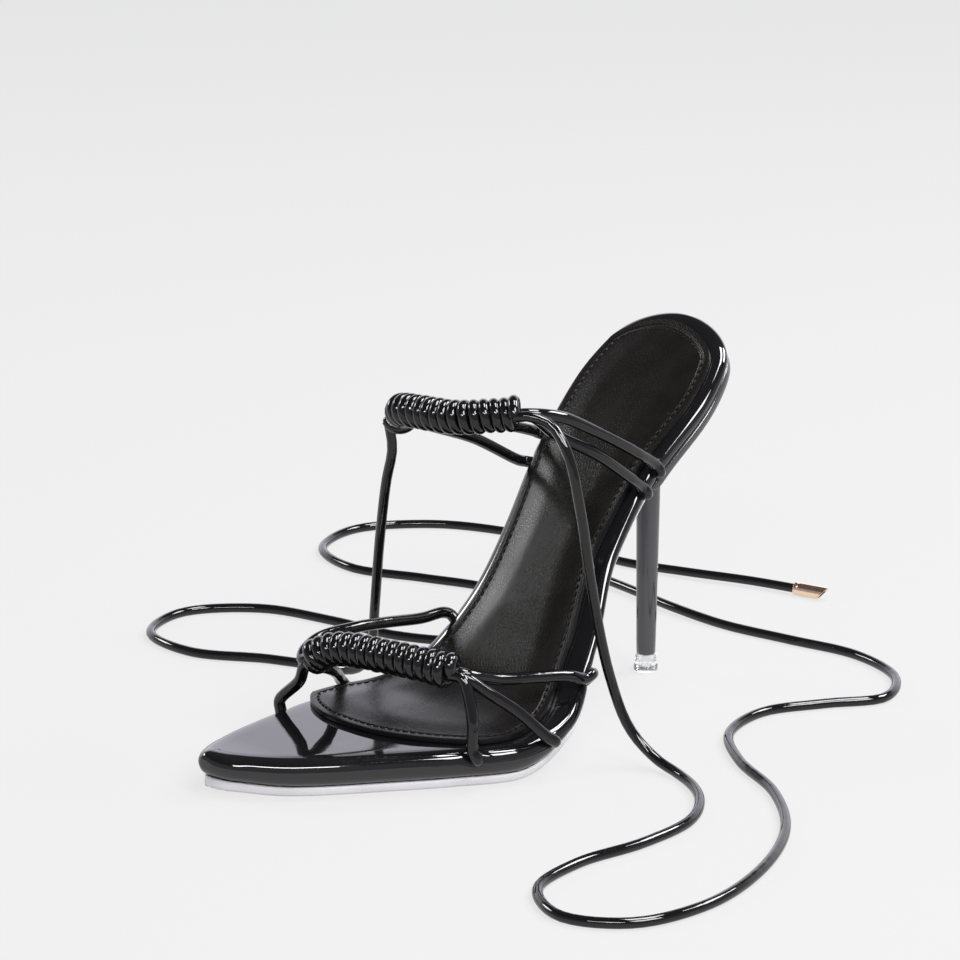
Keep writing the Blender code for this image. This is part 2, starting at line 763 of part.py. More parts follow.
def main():
    clear_scene()
    scene = bpy.context.scene.collection
    parts = bpy.data.collections.new("lace_up_sandal")
    guides = bpy.data.collections.new("guides")
    scene.children.link(parts)
    scene.children.link(guides)

    patent = make_material("black_patent", (0.012, 0.012, 0.014), 0.12)
    sock = make_material("sock_leather", (0.028, 0.026, 0.027), 0.45)
    tread = make_material("white_outsole", (0.82, 0.81, 0.84), 0.45)
    heel_patent = make_material("heel_patent", (0.012, 0.012, 0.014), 0.10)
    clear = make_material("clear_tip", (0.82, 0.84, 0.85), 0.08, alpha=0.5)
    gold = make_material("rose_gold", (0.72, 0.42, 0.31), 0.22, metallic=1.0)
    cord = make_material("cord_patent", (0.014, 0.014, 0.016), 0.16)

    sandal = bpy.data.objects.new("sandal", None)
    scene.objects.link(sandal)
    middle_x, middle_y = footprint_middle()
    sandal.location = (-middle_x, -middle_y, 0.0)

    footbed = add_object("footbed", make_footbed(), parts, patent, sandal)
    add_object("outsole", make_outsole(), parts, tread, sandal)
    insole = add_object("insole", make_insole(), parts, sock, sandal)
    thicken(insole, SOCK_THICKNESS)
    add_object("heel", make_heel(), parts, heel_patent, sandal)
    add_object("heel_tip", make_heel_tip(), parts, clear, sandal)

    front_line = wrap_line(FRONT_WRAP_LINE, FRONT_WRAP_HEIGHT)
    ankle_line = wrap_line(ANKLE_WRAP_LINE, ANKLE_WRAP_HEIGHT)
    sets = (("front", front_line, FRONT_STRANDS), ("ankle", ankle_line, ANKLE_STRANDS))
    for name, line, rows in sets:
        add_object(f"{name}_wrap", make_wrap(f"{name}_wrap", line), parts, cord, sandal)
        _, sockets = make_straps(f"{name}_straps", line, rows, parts, guides, cord, sandal)
        for socket in sockets:
            boolean(footbed, socket, "DIFFERENCE")

    for name, side, points in (("lateral", 1, TIE_LATERAL), ("medial", -1, TIE_MEDIAL)):
        route = tie_route(ankle_line, side, points)
        coarse = route[:3] + spread(route[3:], 6 * TIE_RADIUS)
        add_object(f"tie_{name}", tube_mesh(f"tie_{name}", coarse, TIE_RADIUS), parts, cord, sandal)
        ahead = (coarse[-1] - coarse[-2]).normalized()
        make_tip(f"tip_{name}", coarse[-1], ahead, parts, guides, gold, sandal)


main()
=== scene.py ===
import math

import bmesh
import bpy
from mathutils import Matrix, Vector
from mathutils.kdtree import KDTree


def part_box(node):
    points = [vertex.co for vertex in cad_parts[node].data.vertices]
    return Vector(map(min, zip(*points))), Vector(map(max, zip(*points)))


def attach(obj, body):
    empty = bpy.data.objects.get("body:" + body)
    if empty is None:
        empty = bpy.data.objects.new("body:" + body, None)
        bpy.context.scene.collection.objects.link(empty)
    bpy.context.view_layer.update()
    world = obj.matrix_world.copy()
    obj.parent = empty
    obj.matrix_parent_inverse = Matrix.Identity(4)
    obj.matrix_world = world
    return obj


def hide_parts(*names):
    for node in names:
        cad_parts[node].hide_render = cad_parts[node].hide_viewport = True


bl_info = {
    "name": "Lace-up Heeled Sandal",
    "version": (1, 0, 0),
    "blender": (4, 5, 0),
    "location": "View3D > Sidebar > Sandal",
    "description": "Finished surfaces of a lace-up stiletto sandal over its fixed frame",
    "category": "Add Mesh",
}

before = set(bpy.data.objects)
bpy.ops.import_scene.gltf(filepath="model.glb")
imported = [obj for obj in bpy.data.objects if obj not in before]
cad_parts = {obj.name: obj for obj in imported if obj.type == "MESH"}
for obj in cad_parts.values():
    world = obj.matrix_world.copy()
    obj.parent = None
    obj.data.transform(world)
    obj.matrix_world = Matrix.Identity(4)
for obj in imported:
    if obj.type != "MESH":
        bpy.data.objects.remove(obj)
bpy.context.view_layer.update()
MM = 0.001
UP = Vector((0.0, 0.0, 1.0))
BODY = "root"
TIP_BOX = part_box("heel_tip")


# Shape of the last, the straps and the ties

# Share of length, middle line, half width (shares of ball width), height (share of heel rise),
# board thickness (share)
SECTIONS = (
    (0.000, -0.252, 0.000, 0.012, 0.87),
    (0.030, -0.209, 0.131, 0.004, 0.93),
    (0.089, -0.154, 0.240, 0.000, 1.00),
    (0.187, -0.084, 0.349, 0.000, 1.00),
    (0.285, -0.011, 0.440, 0.000, 1.00),
    (0.383, 0.062, 0.500, 0.000, 0.98),
    (0.481, 0.100, 0.470, 0.040, 0.66),
    (0.579, 0.087, 0.372, 0.200, 0.56),
    (0.677, 0.031, 0.310, 0.421, 0.60),
    (0.775, 0.001, 0.328, 0.627, 0.66),
    (0.873, 0.004, 0.357, 0.788, 0.66),
    (0.947, 0.000, 0.320, 0.901, 0.64),
    (1.000, -0.012, 0.000, 1.000, 0.64),
)
MIDDLE, HALF_WIDTH, HEIGHT, THICKNESS = 1, 2, 3, 4

# Side of the board: inset and depth below the top, both shares of its thickness
BOARD_EDGE = (
    (0.62, 0.00), (0.34, 0.03), (0.13, 0.14), (0.03, 0.32),
    (0.00, 0.52), (0.05, 0.72), (0.16, 0.89), (0.34, 1.00),
)

# Bare rim between sock and board edge: share of length, mm on the outer side, mm on the inner
SOCK_RIM = (
    (0.00, 5.0, 1.0), (0.30, 5.2, 1.2), (0.42, 7.4, 3.4), (0.50, 8.8, 5.4),
    (0.62, 6.4, 5.0), (0.75, 4.2, 4.0), (1.00, 3.5, 3.5),
)
SOCK_FRONT = 0.236
SOCK_CORNER = {1: 0.090, -1: 0.062}
OUTSOLE_WAIST = (0.42, 0.62)
OUTSOLE_END = 0.750
HEEL_BREAST = 0.763

# Where the outsole's ribs fade in and out, in shares of length
OUTSOLE_TREAD = ((0.05, 0.06), (0.45, 0.46))

# Side of the outsole, from its top down: inset and depth, both shares of its thickness
OUTSOLE_SIDE = ((0.0, 0.0), (0.0, 0.35), (0.0, 0.7), (0.12, 0.88), (0.38, 1.0))

# Dimple that a strand presses into the board where it enters
DIMPLE_REACH, DIMPLE_DEPTH, DIMPLE_RADIUS = 6 * MM, 0.75 * MM, 2.6 * MM

# Heel tip and its peg, turned: radius and height, both shares of the tip's
HEEL_TIP_PROFILES = {
    "heel_tip_clear": (
        (0.0, 0.0), (0.80, 0.0), (0.95, 0.03), (1.0, 0.10), (1.0, 0.34), (0.97, 0.38),
        (0.92, 0.42), (0.90, 0.62), (0.88, 0.90), (0.84, 0.98), (0.76, 1.0), (0.0, 1.0),
    ),
    "heel_tip_peg": ((0.0, 0.22), (0.26, 0.22), (0.30, 0.26), (0.30, 0.94), (0.0, 0.94)),
}

METAL_TIP_SLANT = math.radians(40)

# Middle line of a wrap, outer to inner end: across (share of ball width), along (share of
# length), up (share of the wrap's height)
FRONT_WRAP_LINE = (
    (0.357, 0.305, 0.963), (0.077, 0.268, 1.000), (-0.160, 0.246, 0.965), (-0.268, 0.234, 0.834),
)
ANKLE_WRAP_LINE = (
    (0.255, 0.491, 1.019), (0.064, 0.439, 1.000), (-0.250, 0.438, 0.977), (-0.336, 0.471, 0.940),
)

# How a strand ends in the board, at its shoulder, in its mouth and at its end: depth below the
# board's top, out from its outline (shares of the strand's radius)
ENTRIES = {
    "over": ((-0.36, 0.40), (0.95, 0.80), (1.97, -1.16)),
    "down": ((-1.00, 0.05), (0.60, -0.15), (2.10, -0.45)),
    "beside": ((-0.50, 1.20), (0.85, 0.95), (1.75, -1.00)),
}

# A strand's side, its entry, its foot and where it passes the shoulder (shares of length), and
# via points: share of the straight line, outwards, backwards, up (shares of ball width)
FRONT_STRANDS = (
    (1, "over", 0.312, 0.306, ((0.30, 0.019, 0.000, 0.000), (0.65, 0.026, -0.004, 0.000))),
    (1, "over", 0.435, 0.424, ((0.30, 0.000, -0.012, 0.012), (0.65, 0.004, 0.000, 0.014))),
    (1, "over", 0.546, 0.537, (
        (0.30, -0.004, 0.000, -0.016),
        (0.60, 0.004, 0.000, 0.000),
        (0.87, 0.004, 0.000, 0.010),
    )),
    (-1, "down", 0.230, 0.230, ((0.45, -0.030, 0.012, 0.002),)),
    (-1, "down", 0.377, 0.366, ((0.35, -0.014, 0.046, -0.004), (0.75, 0.004, 0.034, 0.000))),
    (-1, "beside", 0.560, 0.556, (
        (0.06, 0.048, 0.004, 0.022),
        (0.16, 0.046, 0.004, 0.058),
        (0.38, 0.019, 0.000, 0.062),
        (0.60, 0.014, 0.000, 0.038),
        (0.85, 0.006, 0.000, 0.006),
    )),
)
ANKLE_STRANDS = (
    (1, "over", 0.750, 0.753, (
        (0.25, 0.000, 0.000, -0.014),
        (0.52, 0.044, 0.000, 0.000),
        (0.84, 0.026, 0.000, 0.000),
    )),
    (1, "over", 0.780, 0.783, (
        (0.20, 0.030, 0.000, 0.034),
        (0.46, 0.046, 0.000, 0.033),
        (0.78, 0.034, 0.000, 0.018),
    )),
    (-1, "beside", 0.750, 0.747, ((0.20, 0.000, 0.000, 0.000), (0.62, 0.010, 0.000, 0.020))),
    (-1, "beside", 0.788, 0.785, ((0.25, 0.004, 0.000, 0.006), (0.58, 0.010, 0.000, 0.016))),
)

# Height of a tie's middle where it lies on the floor, and the routes of the ties, in
# millimetres in the last's own frame; a point without a height lies on the floor
TIE_LIES = 1.7
TIE_ROUTES = {
    1: (
        (32.0, 96.5, 107.0), (38.5, 97.5, 99.0), (42.5, 99.0, 82.0), (46.0, 101.0, 56.0),
        (50.0, 104.5, 30.0), (55.5, 108.0, 12.5), (64.0, 110.5, 4.2), (76.0, 109.5),
        (91.0, 101.0), (102.0, 85.0), (104.0, 62.0), (101.0, 38.0),
        (106.0, 16.0), (124.0, 7.0), (141.0, 18.0), (147.0, 42.0),
        (141.0, 72.0), (126.0, 100.0), (104.0, 120.0), (80.0, 132.0),
        (62.0, 148.0), (57.0, 170.0), (66.0, 190.0), (76.0, 208.0),
        (66.0, 226.0), (43.0, 234.0), (17.0, 230.0), (-9.0, 226.0),
        (-34.0, 226.0, 2.45), (-58.0, 230.0, 2.45), (-90.0, 234.0, 2.45),
    ),
    -1: (
        (-31.5, 90.5, 88.0), (-34.5, 90.5, 76.0), (-39.0, 91.5, 54.0), (-44.0, 94.0, 32.0),
        (-50.0, 97.5, 14.5), (-59.0, 100.0, 4.8), (-71.0, 99.5), (-93.0, 91.0),
        (-117.0, 77.0), (-142.0, 80.0), (-151.0, 102.0), (-135.0, 124.0),
        (-107.0, 133.0), (-80.0, 138.0), (-60.0, 151.0), (-54.0, 173.0),
        (-68.0, 193.0), (-94.0, 197.0), (-120.0, 188.0), (-146.0, 178.0),
        (-171.0, 186.0), (-180.0, 211.0), (-164.0, 236.0), (-138.0, 249.0),
        (-110.0, 253.0), (-82.0, 253.0), (-56.0, 259.0, 2.45), (-32.0, 268.0, 2.45),
        (0.0, 276.0, 2.45),
    ),
}


# Picture: its width in pixels, how far the view is moved across and up in it, and where the
# camera aims, from the last's own origin
PICTURE_WIDTH = 960
VIEW_MOVED = (0.28, 68.64)
AIM = Vector((0.0, 0.09816, 0.060))

# Lights that all face one point: place, width, height and power
LIT_POINT = Vector((0.0, 0.0, 0.05))
LIGHTS = {
    "back_softbox": ((0.48, 1.07, 1.12), 0.75, 0.36, 20.0),
    "top_softbox": ((0.26, 0.42, 1.60), 0.80, 0.50, 26.0),
    "inner_softbox": ((-1.28, -0.41, 0.80), 0.50, 0.28, 7.5),
    "outer_softbox": ((1.15, -0.08, 1.15), 0.72, 0.50, 22.0),
    "front_strip": ((0.90, -1.10, 1.02), 1.00, 0.16, 13.0),
}


# Settings

def length(name, default, description):
    return bpy.props.FloatProperty(name=name, description=description, default=default,
                                   precision=5, subtype="DISTANCE", unit="LENGTH")


def number(name, default, description):
    return bpy.props.FloatProperty(name=name, description=description, default=default, min=0.0)


def share(name, default, description):
    return bpy.props.FloatProperty(name=name, description=description, default=default,
                                   min=0.0, max=1.0, subtype="FACTOR")


def color(name, default, description):
    return bpy.props.FloatVectorProperty(name=name, description=description, default=default,
                                         size=3, min=0.0, max=1.0, subtype="COLOR")


class SandalSoleSizes(bpy.types.PropertyGroup):
    """Sizes of the board, sock, outsole and heel"""
    sole_length: length("Sole length", 0.1928, "Along the floor, from toe tip to seat back")
    ball_width: length("Ball width", 0.0784, "Widest part of the board")
    heel_rise: length("Heel rise", 0.1083, "Seat back above the ball")
    board_thickness: length("Board thickness", 0.0089, "Wrapped board at the ball")
    outsole_thickness: length("Outsole thickness", 0.003, "White outsole at the forefoot")
    outsole_inset: length("Outsole inset", 0.0025, "From the board's edge to the outsole's")
    sock_thickness: length("Sock thickness", 0.0015, "Leather sock with its foam")
    clearance: length("Clearance", 0.0003, "Between pieces that are glued together")
    dome: length("Sock padding", 0.00090, "How far the sock swells away from its edge")
    stitch_inset: length("Stitch inset", 0.0026, "From the sock's edge to its stitches")
    stitch_length: length("Stitch length", 0.0019, "One stitch")
    stitch_pitch: length("Stitch pitch", 0.0026, "From one stitch to the next")
    heel_inset: length("Heel inset", 0.0012, "From the board's edge to the heel cup's")
    heel_lip: length("Heel lip", 0.0024, "Upright rim of the heel cup")
    post_radius: length("Post radius", 0.0032, "Heel at its tip")
    neck_radius: length("Neck radius", 0.0039, "Heel where its flare starts")
    neck_height: length("Neck height", 0.060, "Where the flare starts")
    post_from_back: length("Post from back", 0.0166, "From the seat back to the post's middle")


class SandalCordSizes(bpy.types.PropertyGroup):
    """Sizes of the strands, windings, ties and metal tips"""
    strand_radius: length("Strand radius", 0.0019, "Patent cord of the straps")
    core_radius: length("Core radius", 0.0035, "Strands bundled inside a winding")
    core_overhang: length("Core overhang", 0.0024, "Bundle past the winding's end")
    winding_radius: length("Winding radius", 0.0055, "Outside of a winding")
    winding_pitch: length("Winding pitch", 0.0032, "From one turn to the next")
    winding_cord: length("Winding cord", 0.00178, "Radius of the cord that is wound")
    front_height: length("Front winding height", 0.0374, "Crown of the front winding")
    ankle_height: length("Ankle winding height", 0.1064, "Crown of the ankle winding")
    unevenness: length("Unevenness", 0.00028, "How far one turn stands out from the next")
    tie_radius: length("Tie radius", 0.00165, "Long tie cord")
    tie_length: length("Tie length", 0.70, "One tie, from its winding to its metal tip")
    tip_radius: length("Tip radius", 0.0024, "Metal tip, outside")
    tip_wall: length("Tip wall", 0.00045, "Metal tip")
    tip_length: length("Tip length", 0.013, "Metal tip at its longer side")
    tip_grip: length("Tip grip", 0.005, "Length of tie inside its tip")


class SandalFinish(bpy.types.PropertyGroup):
    """Colours of the finishes"""
    patent: color("Patent", (0.0040, 0.0039, 0.0048), "Patent leather of board and heel")
    # Painted reflection: the heel's dark grey lacquer is lightened further to stand in for the bright
    # horizon it mirrors.
    heel: color("Heel", (0.040, 0.039, 0.045), "Lacquer of the heel")
    cord: color("Cord", (0.0035, 0.0034, 0.0038), "Patent cord")
    sock: color("Sock", (0.0050, 0.0045, 0.0040), "Grained leather of the sock")
    thread: color("Thread", (0.003, 0.003, 0.003), "Stitching")
    # Painted shade: the white rubber's colour is darkened to grey so the sole shows less bright under the
    # lamps.
    outsole: color("Outsole", (0.56, 0.55, 0.575), "White outsole")
    clear: color("Clear tip", (0.98, 0.98, 0.99), "Clear plastic under the heel")
    gold: color("Rose gold", (0.95, 0.70, 0.53), "Metal tips")


class SandalStage(bpy.types.PropertyGroup):
    """Camera, floor and light"""
    azimuth: number("Azimuth", 45.236, "Camera round the shoe, in degrees from its toe")
    elevation: number("Elevation", 17.685, "Camera above the floor, in degrees")
    distance: length("Distance", 1.08173, "Camera from the middle of the shoe")
    lens: number("Lens", 129.33, "Focal length in millimetres")
    floor: color("Floor", (0.06, 0.06, 0.06), "Pale floor, apart from its glow")
    glow: number("Floor glow", 0.735, "Light that the floor gives off, so that shadows stay faint")
    horizon: color("Horizon", (0.91, 0.895, 1.0), "Light near the horizon")
    horizon_strength: number("Horizon strength", 1.75, "Brightness near the horizon, behind the shoe")
    front_share: share("Front share", 0.22, "Brightness before the shoe, as a share of that behind it")
    zenith: color("Zenith", (0.07, 0.07, 0.075), "Light from straight above")


# Curves

def smooth_value(rows, column, at, key=lambda row: row[0]):
    """Monotone cubic through one column of a table."""
    xs = [key(row) for row in rows]
    ys = [row[column] for row in rows]
    if at <= xs[0]:
        return ys[0]
    if at >= xs[-1]:
        return ys[-1]
    steps = [(ys[i + 1] - ys[i]) / (xs[i + 1] - xs[i]) for i in range(len(xs) - 1)]
    slopes = [steps[0]]
    for before, after in zip(steps, steps[1:]):
        slopes.append(0.0 if before * after <= 0 else 2 * before * after / (before + after))
    slopes.append(steps[-1])
    i = next(k for k in range(len(xs) - 1) if at <= xs[k + 1])
    span = xs[i + 1] - xs[i]
    u = (at - xs[i]) / span
    rise = (ys[i + 1] - ys[i]) * (3 * u * u - 2 * u * u * u)
    bend = span * (slopes[i] * (u - 2 * u * u + u ** 3) + slopes[i + 1] * (u ** 3 - u * u))
    return ys[i] + rise + bend


def smooth_step(low, high, value):
    at = min(max((value - low) / (high - low), 0.0), 1.0)
    return at * at * (3 - 2 * at)


def smooth_route(points, spacing):
    """Evenly spaced points on a centripetal Catmull-Rom curve through the given points."""
    points = [Vector(p) for p in points]
    ends = [2 * points[0] - points[1]] + points + [2 * points[-1] - points[-2]]
    dense = []
    for a, b, c, d in zip(ends, ends[1:], ends[2:], ends[3:]):
        t1 = math.sqrt((b - a).length)
        t2 = t1 + math.sqrt((c - b).length)
        t3 = t2 + math.sqrt((d - c).length)
        for k in range(16):
            t = t1 + (t2 - t1) * k / 16
            ab = a.lerp(b, t / t1)
            bc = b.lerp(c, (t - t1) / (t2 - t1))
            cd = c.lerp(d, (t - t2) / (t3 - t2))
            abc = ab.lerp(bc, t / t2)
            bcd = bc.lerp(cd, (t - t1) / (t3 - t1))
            dense.append(abc.lerp(bcd, (t - t1) / (t2 - t1)))
    dense.append(points[-1])
    return spread(dense, spacing)


def spread(dense, spacing):
    """The same line with its points spaced evenly."""
    reach = [0.0]
    for before, after in zip(dense, dense[1:]):
        reach.append(reach[-1] + (after - before).length)
    count = max(2, round(reach[-1] / spacing))
    result, i = [], 0
    for k in range(count + 1):
        target = reach[-1] * k / count
        while i < len(dense) - 2 and reach[i + 1] < target:
            i += 1
        part = (target - reach[i]) / (reach[i + 1] - reach[i])
        result.append(dense[i].lerp(dense[i + 1], part))
    return result


def line_length(line):
    return sum((after - before).length for before, after in zip(line, line[1:]))


def cut_to_length(points, reach):
    """The first stretch of a line, ending at the given length along it."""
    result = [points[0]]
    left = reach
    for before, after in zip(points, points[1:]):
        step = (after - before).length
        if step >= left:
            result.append(before.lerp(after, left / step))
            break
        result.append(after)
        left -= step
    return result


def turn_of(at):
    return math.acos(1 - 2 * min(max(at, 0.0), 1.0))


def share_of(turn):
    return (1 - math.cos(turn)) / 2


class Last:
    """The surface that board, sock, outsole, heel and straps follow."""

    def __init__(self, sizes):
        self.sizes = sizes
        self.top_zero = sizes.outsole_thickness + sizes.clearance + sizes.board_thickness
        turns = [math.pi * k / 89 for k in range(90)]
        outer = max(self.edge(turn, 1).x for turn in turns)
        inner = min(self.edge(turn, -1).x for turn in turns)
        self.shift = Vector((0.0, 0.0, 0.0))
        back = sizes.sole_length
        cup = self.on(0.0, back, self.depth(back) + sizes.clearance + sizes.heel_lip)
        self.shift = Vector((-(outer + inner) / 2, -cup.y / 2, 0.0))

    def outline(self, turn, column):
        return self.sizes.ball_width * smooth_value(SECTIONS, column, turn, lambda row: turn_of(row[0]))

    def edge(self, turn, side, inset=0.0):
        """Plan point on the outline, moved in by the inset at right angles to the edge."""
        def plain(angle):
            across = self.outline(angle, MIDDLE) + side * self.outline(angle, HALF_WIDTH)
            return Vector((across, self.sizes.sole_length * share_of(angle)))
        step = 0.004
        if 0.02 < turn < math.pi - 0.02:
            along = plain(turn + step) - plain(turn - step)
        else:
            along = Vector((side if turn < 1 else -side, 0.0))
        inward = Vector((-side * along.y, side * along.x)).normalized()
        point = plain(turn) + inward * inset
        middle = self.outline(turn, MIDDLE)
        point.x = middle + side * max(side * (point.x - middle), 0.0)
        return point

    def top(self, y):
        rise = self.sizes.heel_rise * smooth_value(SECTIONS, HEIGHT, y / self.sizes.sole_length)
        return self.top_zero + rise

    def depth(self, y):
        return self.sizes.board_thickness * smooth_value(SECTIONS, THICKNESS, y / self.sizes.sole_length)

    def on(self, x, y, depth=0.0):
        """Point in the row frame at a depth below the board's top, square to its slope."""
        step = 0.5 * MM
        slope = math.atan2(self.top(y + step) - self.top(y - step), 2 * step)
        place = Vector((x, y + depth * math.sin(slope), self.top(y) - depth * math.cos(slope)))
        return place + self.shift

    def side(self, at, side, depth, out):
        edge = self.edge(turn_of(at), side, -out)
        return self.on(edge.x, edge.y, depth)


# Meshes

def new_object(name, mesh):
    obj = bpy.data.objects.new(name, mesh)
    bpy.context.scene.collection.objects.link(obj)
    return obj


def new_mesh(build, name):
    mesh = bpy.data.meshes.new(name)
    build.to_mesh(mesh)
    build.free()
    return mesh


def to_mesh(build, name, merge=0.01 * MM, solid=True):
    """Smooth mesh with its near vertices merged and, for a solid, its normals outwards."""
    bmesh.ops.remove_doubles(build, verts=build.verts, dist=merge)
    if solid:
        bmesh.ops.recalc_face_normals(build, faces=build.faces)
    mesh = new_mesh(build, name)
    mesh.shade_smooth()
    return mesh


def bake(obj):
    """The object's evaluated mesh becomes its own, with no modifiers left."""
    evaluated = obj.evaluated_get(bpy.context.evaluated_depsgraph_get())
    mesh = bpy.data.meshes.new_from_object(evaluated)
    obj.modifiers.clear()
    obj.data = mesh
    return obj


def dress(obj, material, slot_name, *nodes):
    """Rides the piece on the shoe, in place of the frame's nodes that it stands for."""
    if material is not None:
        obj.data.materials.clear()
        obj.data.materials.append(material)
    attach(obj, BODY)
    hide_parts(*nodes)
    return obj


def face(build, corners):
    corners = list(dict.fromkeys(corners))
    if len(corners) > 2:
        build.faces.new(corners)


def band(build, lower, upper):
    """Faces between two closed rings of vertices."""
    for k in range(len(lower)):
        after = (k + 1) % len(lower)
        face(build, (lower[k], lower[after], upper[after], upper[k]))


def stations(count):
    """Turns and sides all round the last: back along the outer side, forward along the inner."""
    turns = [math.pi * k / count for k in range(count + 1)]
    return [(turn, 1) for turn in turns] + [(turn, -1) for turn in turns[-2:0:-1]]


def bridge(build, ring, plans, place, columns):
    """Fills a ring round the last with rows that run across from side to side."""
    half = len(ring) // 2
    before = [ring[0]] * (columns + 1)
    for k in range(1, half + 1):
        if k == half:
            row = [ring[half]] * (columns + 1)
        else:
            outer, inner = plans[k], plans[-k]
            row = [ring[k]]
            row += [build.verts.new(place(outer.lerp(inner, c / columns))) for c in range(1, columns)]
            row.append(ring[-k])
        for c in range(columns):
            face(build, (before[c], before[c + 1], row[c + 1], row[c]))
        before = row


def frames_along(line):
    """Point, forward direction and two square directions that don't twist along a line."""
    ahead = (line[1] - line[0]).normalized()
    side = ahead.orthogonal().normalized()
    if abs(ahead.z) < 0.9:
        side = (UP - ahead * ahead.z).normalized()
    frames = []
    for k, point in enumerate(line):
        ahead = (line[min(k + 1, len(line) - 1)] - line[max(k - 1, 0)]).normalized()
        side = (side - ahead * side.dot(ahead)).normalized()
        frames.append((point, ahead, side, ahead.cross(side)))
    return frames


def tube(build, line, radius, sides=16):
    """Adds a round cord with domed ends. UV: metres along it, and share of the way round."""
    layer = build.loops.layers.uv.verify()
    reach = 0.0
    rows, along = [], []
    frames = frames_along(line)
    for k, (point, ahead, up, across) in enumerate(frames):
        if k:
            reach += (point - frames[k - 1][0]).length
        rings = [(point, radius)]
        if k in (0, len(frames) - 1):
            out = -ahead if k == 0 else ahead
            rings = []
            for angle in (0.0, 30.0, 58.0, 80.0):
                a = math.radians(angle)
                rings.append((point + out * radius * math.sin(a) * 0.8, radius * math.cos(a)))
            if k == 0:
                rings.reverse()
        for middle, size in rings:
            ring = []
            for s in range(sides):
                a = 2 * math.pi * s / sides
                offset = up * math.cos(a) + across * math.sin(a)
                ring.append(build.verts.new(middle + offset * size))
            rows.append(ring)
            along.append(reach)
    for row in range(len(rows) - 1):
        for s in range(sides):
            after = (s + 1) % sides
            near, far = rows[row], rows[row + 1]
            made = build.faces.new((near[s], near[after], far[after], far[s]))
            spots = ((along[row], s), (along[row], s + 1), (along[row + 1], s + 1), (along[row + 1], s))
            for loop, (u, v) in zip(made.loops, spots):
                loop[layer].uv = (u, v / sides)
    build.faces.new(rows[0][::-1])
    build.faces.new(rows[-1])


def cord_piece(name, routes, radius, sides=16):
    """One object of round cords along the given routes."""
    build = bmesh.new()
    for route in routes:
        tube(build, route, radius, sides)
    mesh = new_mesh(build, name)
    mesh.shade_smooth()
    return new_object(name, mesh)


def set_attribute(mesh, name, values):
    layer = mesh.attributes.new(name, "FLOAT", "POINT")
    layer.data.foreach_set("value", values)


# Material node groups

class Nodes:
    """Short way to add and link nodes in one tree."""

    def __init__(self, tree):
        self.tree = tree

    def add(self, kind, inputs=None, **settings):
        node = self.tree.nodes.new(kind)
        for name, value in settings.items():
            setattr(node, name, value)
        for name, value in (inputs or {}).items():
            self.link(value, node.inputs[name])
        return node

    def link(self, value, socket):
        """Links the socket to another one, or sets it to a constant."""
        if isinstance(value, bpy.types.NodeSocket):
            self.tree.links.new(value, socket)
        else:
            socket.default_value = value

    def noise(self, vector, scale, detail, **more):
        given = {"Vector": vector, "Scale": scale, "Detail": detail, **more}
        return self.add("ShaderNodeTexNoise", given)

    def bump(self, shader, height, distance):
        """Raises a shader's surface by a height, given in metres for a height of 1."""
        node = self.add("ShaderNodeBump", {"Height": height, "Distance": distance})
        self.link(node.outputs[0], shader.inputs["Normal"])

    def math(self, operation, a, b=0.0, c=0.0):
        node = self.add("ShaderNodeMath", {0: a, 1: b, 2: c}, operation=operation)
        return node.outputs[0]

    def vector(self, operation, a, b=(0.0, 0.0, 0.0)):
        node = self.add("ShaderNodeVectorMath", {0: a, 1: b}, operation=operation)
        return node.outputs[0]

    def scale(self, a, by):
        return self.add("ShaderNodeVectorMath", {0: a, "Scale": by}, operation="SCALE").outputs[0]

    def remap(self, value, low, high, to_low=0.0, to_high=1.0):
        node = self.add("ShaderNodeMapRange", {"Value": value, "From Min": low, "From Max": high,
                                               "To Min": to_low, "To Max": to_high},
                        interpolation_type="SMOOTHSTEP")
        return node.outputs[0]

    def mix_color(self, factor, a, b):
        node = self.add("ShaderNodeMix", data_type="RGBA")
        for socket, value in ((node.inputs[0], factor), (node.inputs[6], a), (node.inputs[7], b)):
            self.link(value, socket)
        return node.outputs[2]


def make_group(name, kind, inputs, outputs):
    """Node group with named sockets; returns its tree, helper, input sockets and output node."""
    tree = bpy.data.node_groups.new(name, kind)
    for label, socket_type, default in inputs:
        socket = tree.interface.new_socket(label, in_out="INPUT", socket_type=socket_type)
        if default is not None:
            socket.default_value = default
    for label, socket_type in outputs:
        tree.interface.new_socket(label, in_out="OUTPUT", socket_type=socket_type)
    nodes = Nodes(tree)
    source = nodes.add("NodeGroupInput")
    target = nodes.add("NodeGroupOutput")
    return tree, nodes, source.outputs, target


FLOAT = "NodeSocketFloat"
VECTOR = "NodeSocketVector"
GEOMETRY = "NodeSocketGeometry"


def patent_ripple_group():
    """Soft waviness of a lacquered surface, and the smears that dull it a little."""
    tree, nodes, given, result = make_group(
        "Patent Ripple", "ShaderNodeTree",
        (("Vector", VECTOR, None), ("Ripple Size", FLOAT, 0.008), ("Fine Size", FLOAT, 0.0012)),
        (("Height", FLOAT), ("Smear", FLOAT)))
    broad_scale = nodes.math("DIVIDE", 1.0, given["Ripple Size"])
    ripple = nodes.noise(given["Vector"], broad_scale, 1.0, Roughness=0.35)
    fine_scale = nodes.math("DIVIDE", 1.0, given["Fine Size"])
    fine = nodes.noise(given["Vector"], fine_scale, 2.0, Roughness=0.5)
    both = nodes.math("MULTIPLY_ADD", fine.outputs[0], 0.06, ripple.outputs[0])
    smear = nodes.noise(given["Vector"], 55.0, 5.0, Roughness=0.62, Distortion=0.6)
    nodes.link(both, result.inputs["Height"])
    nodes.link(nodes.remap(smear.outputs[0], 0.42, 0.72), result.inputs["Smear"])
    return tree


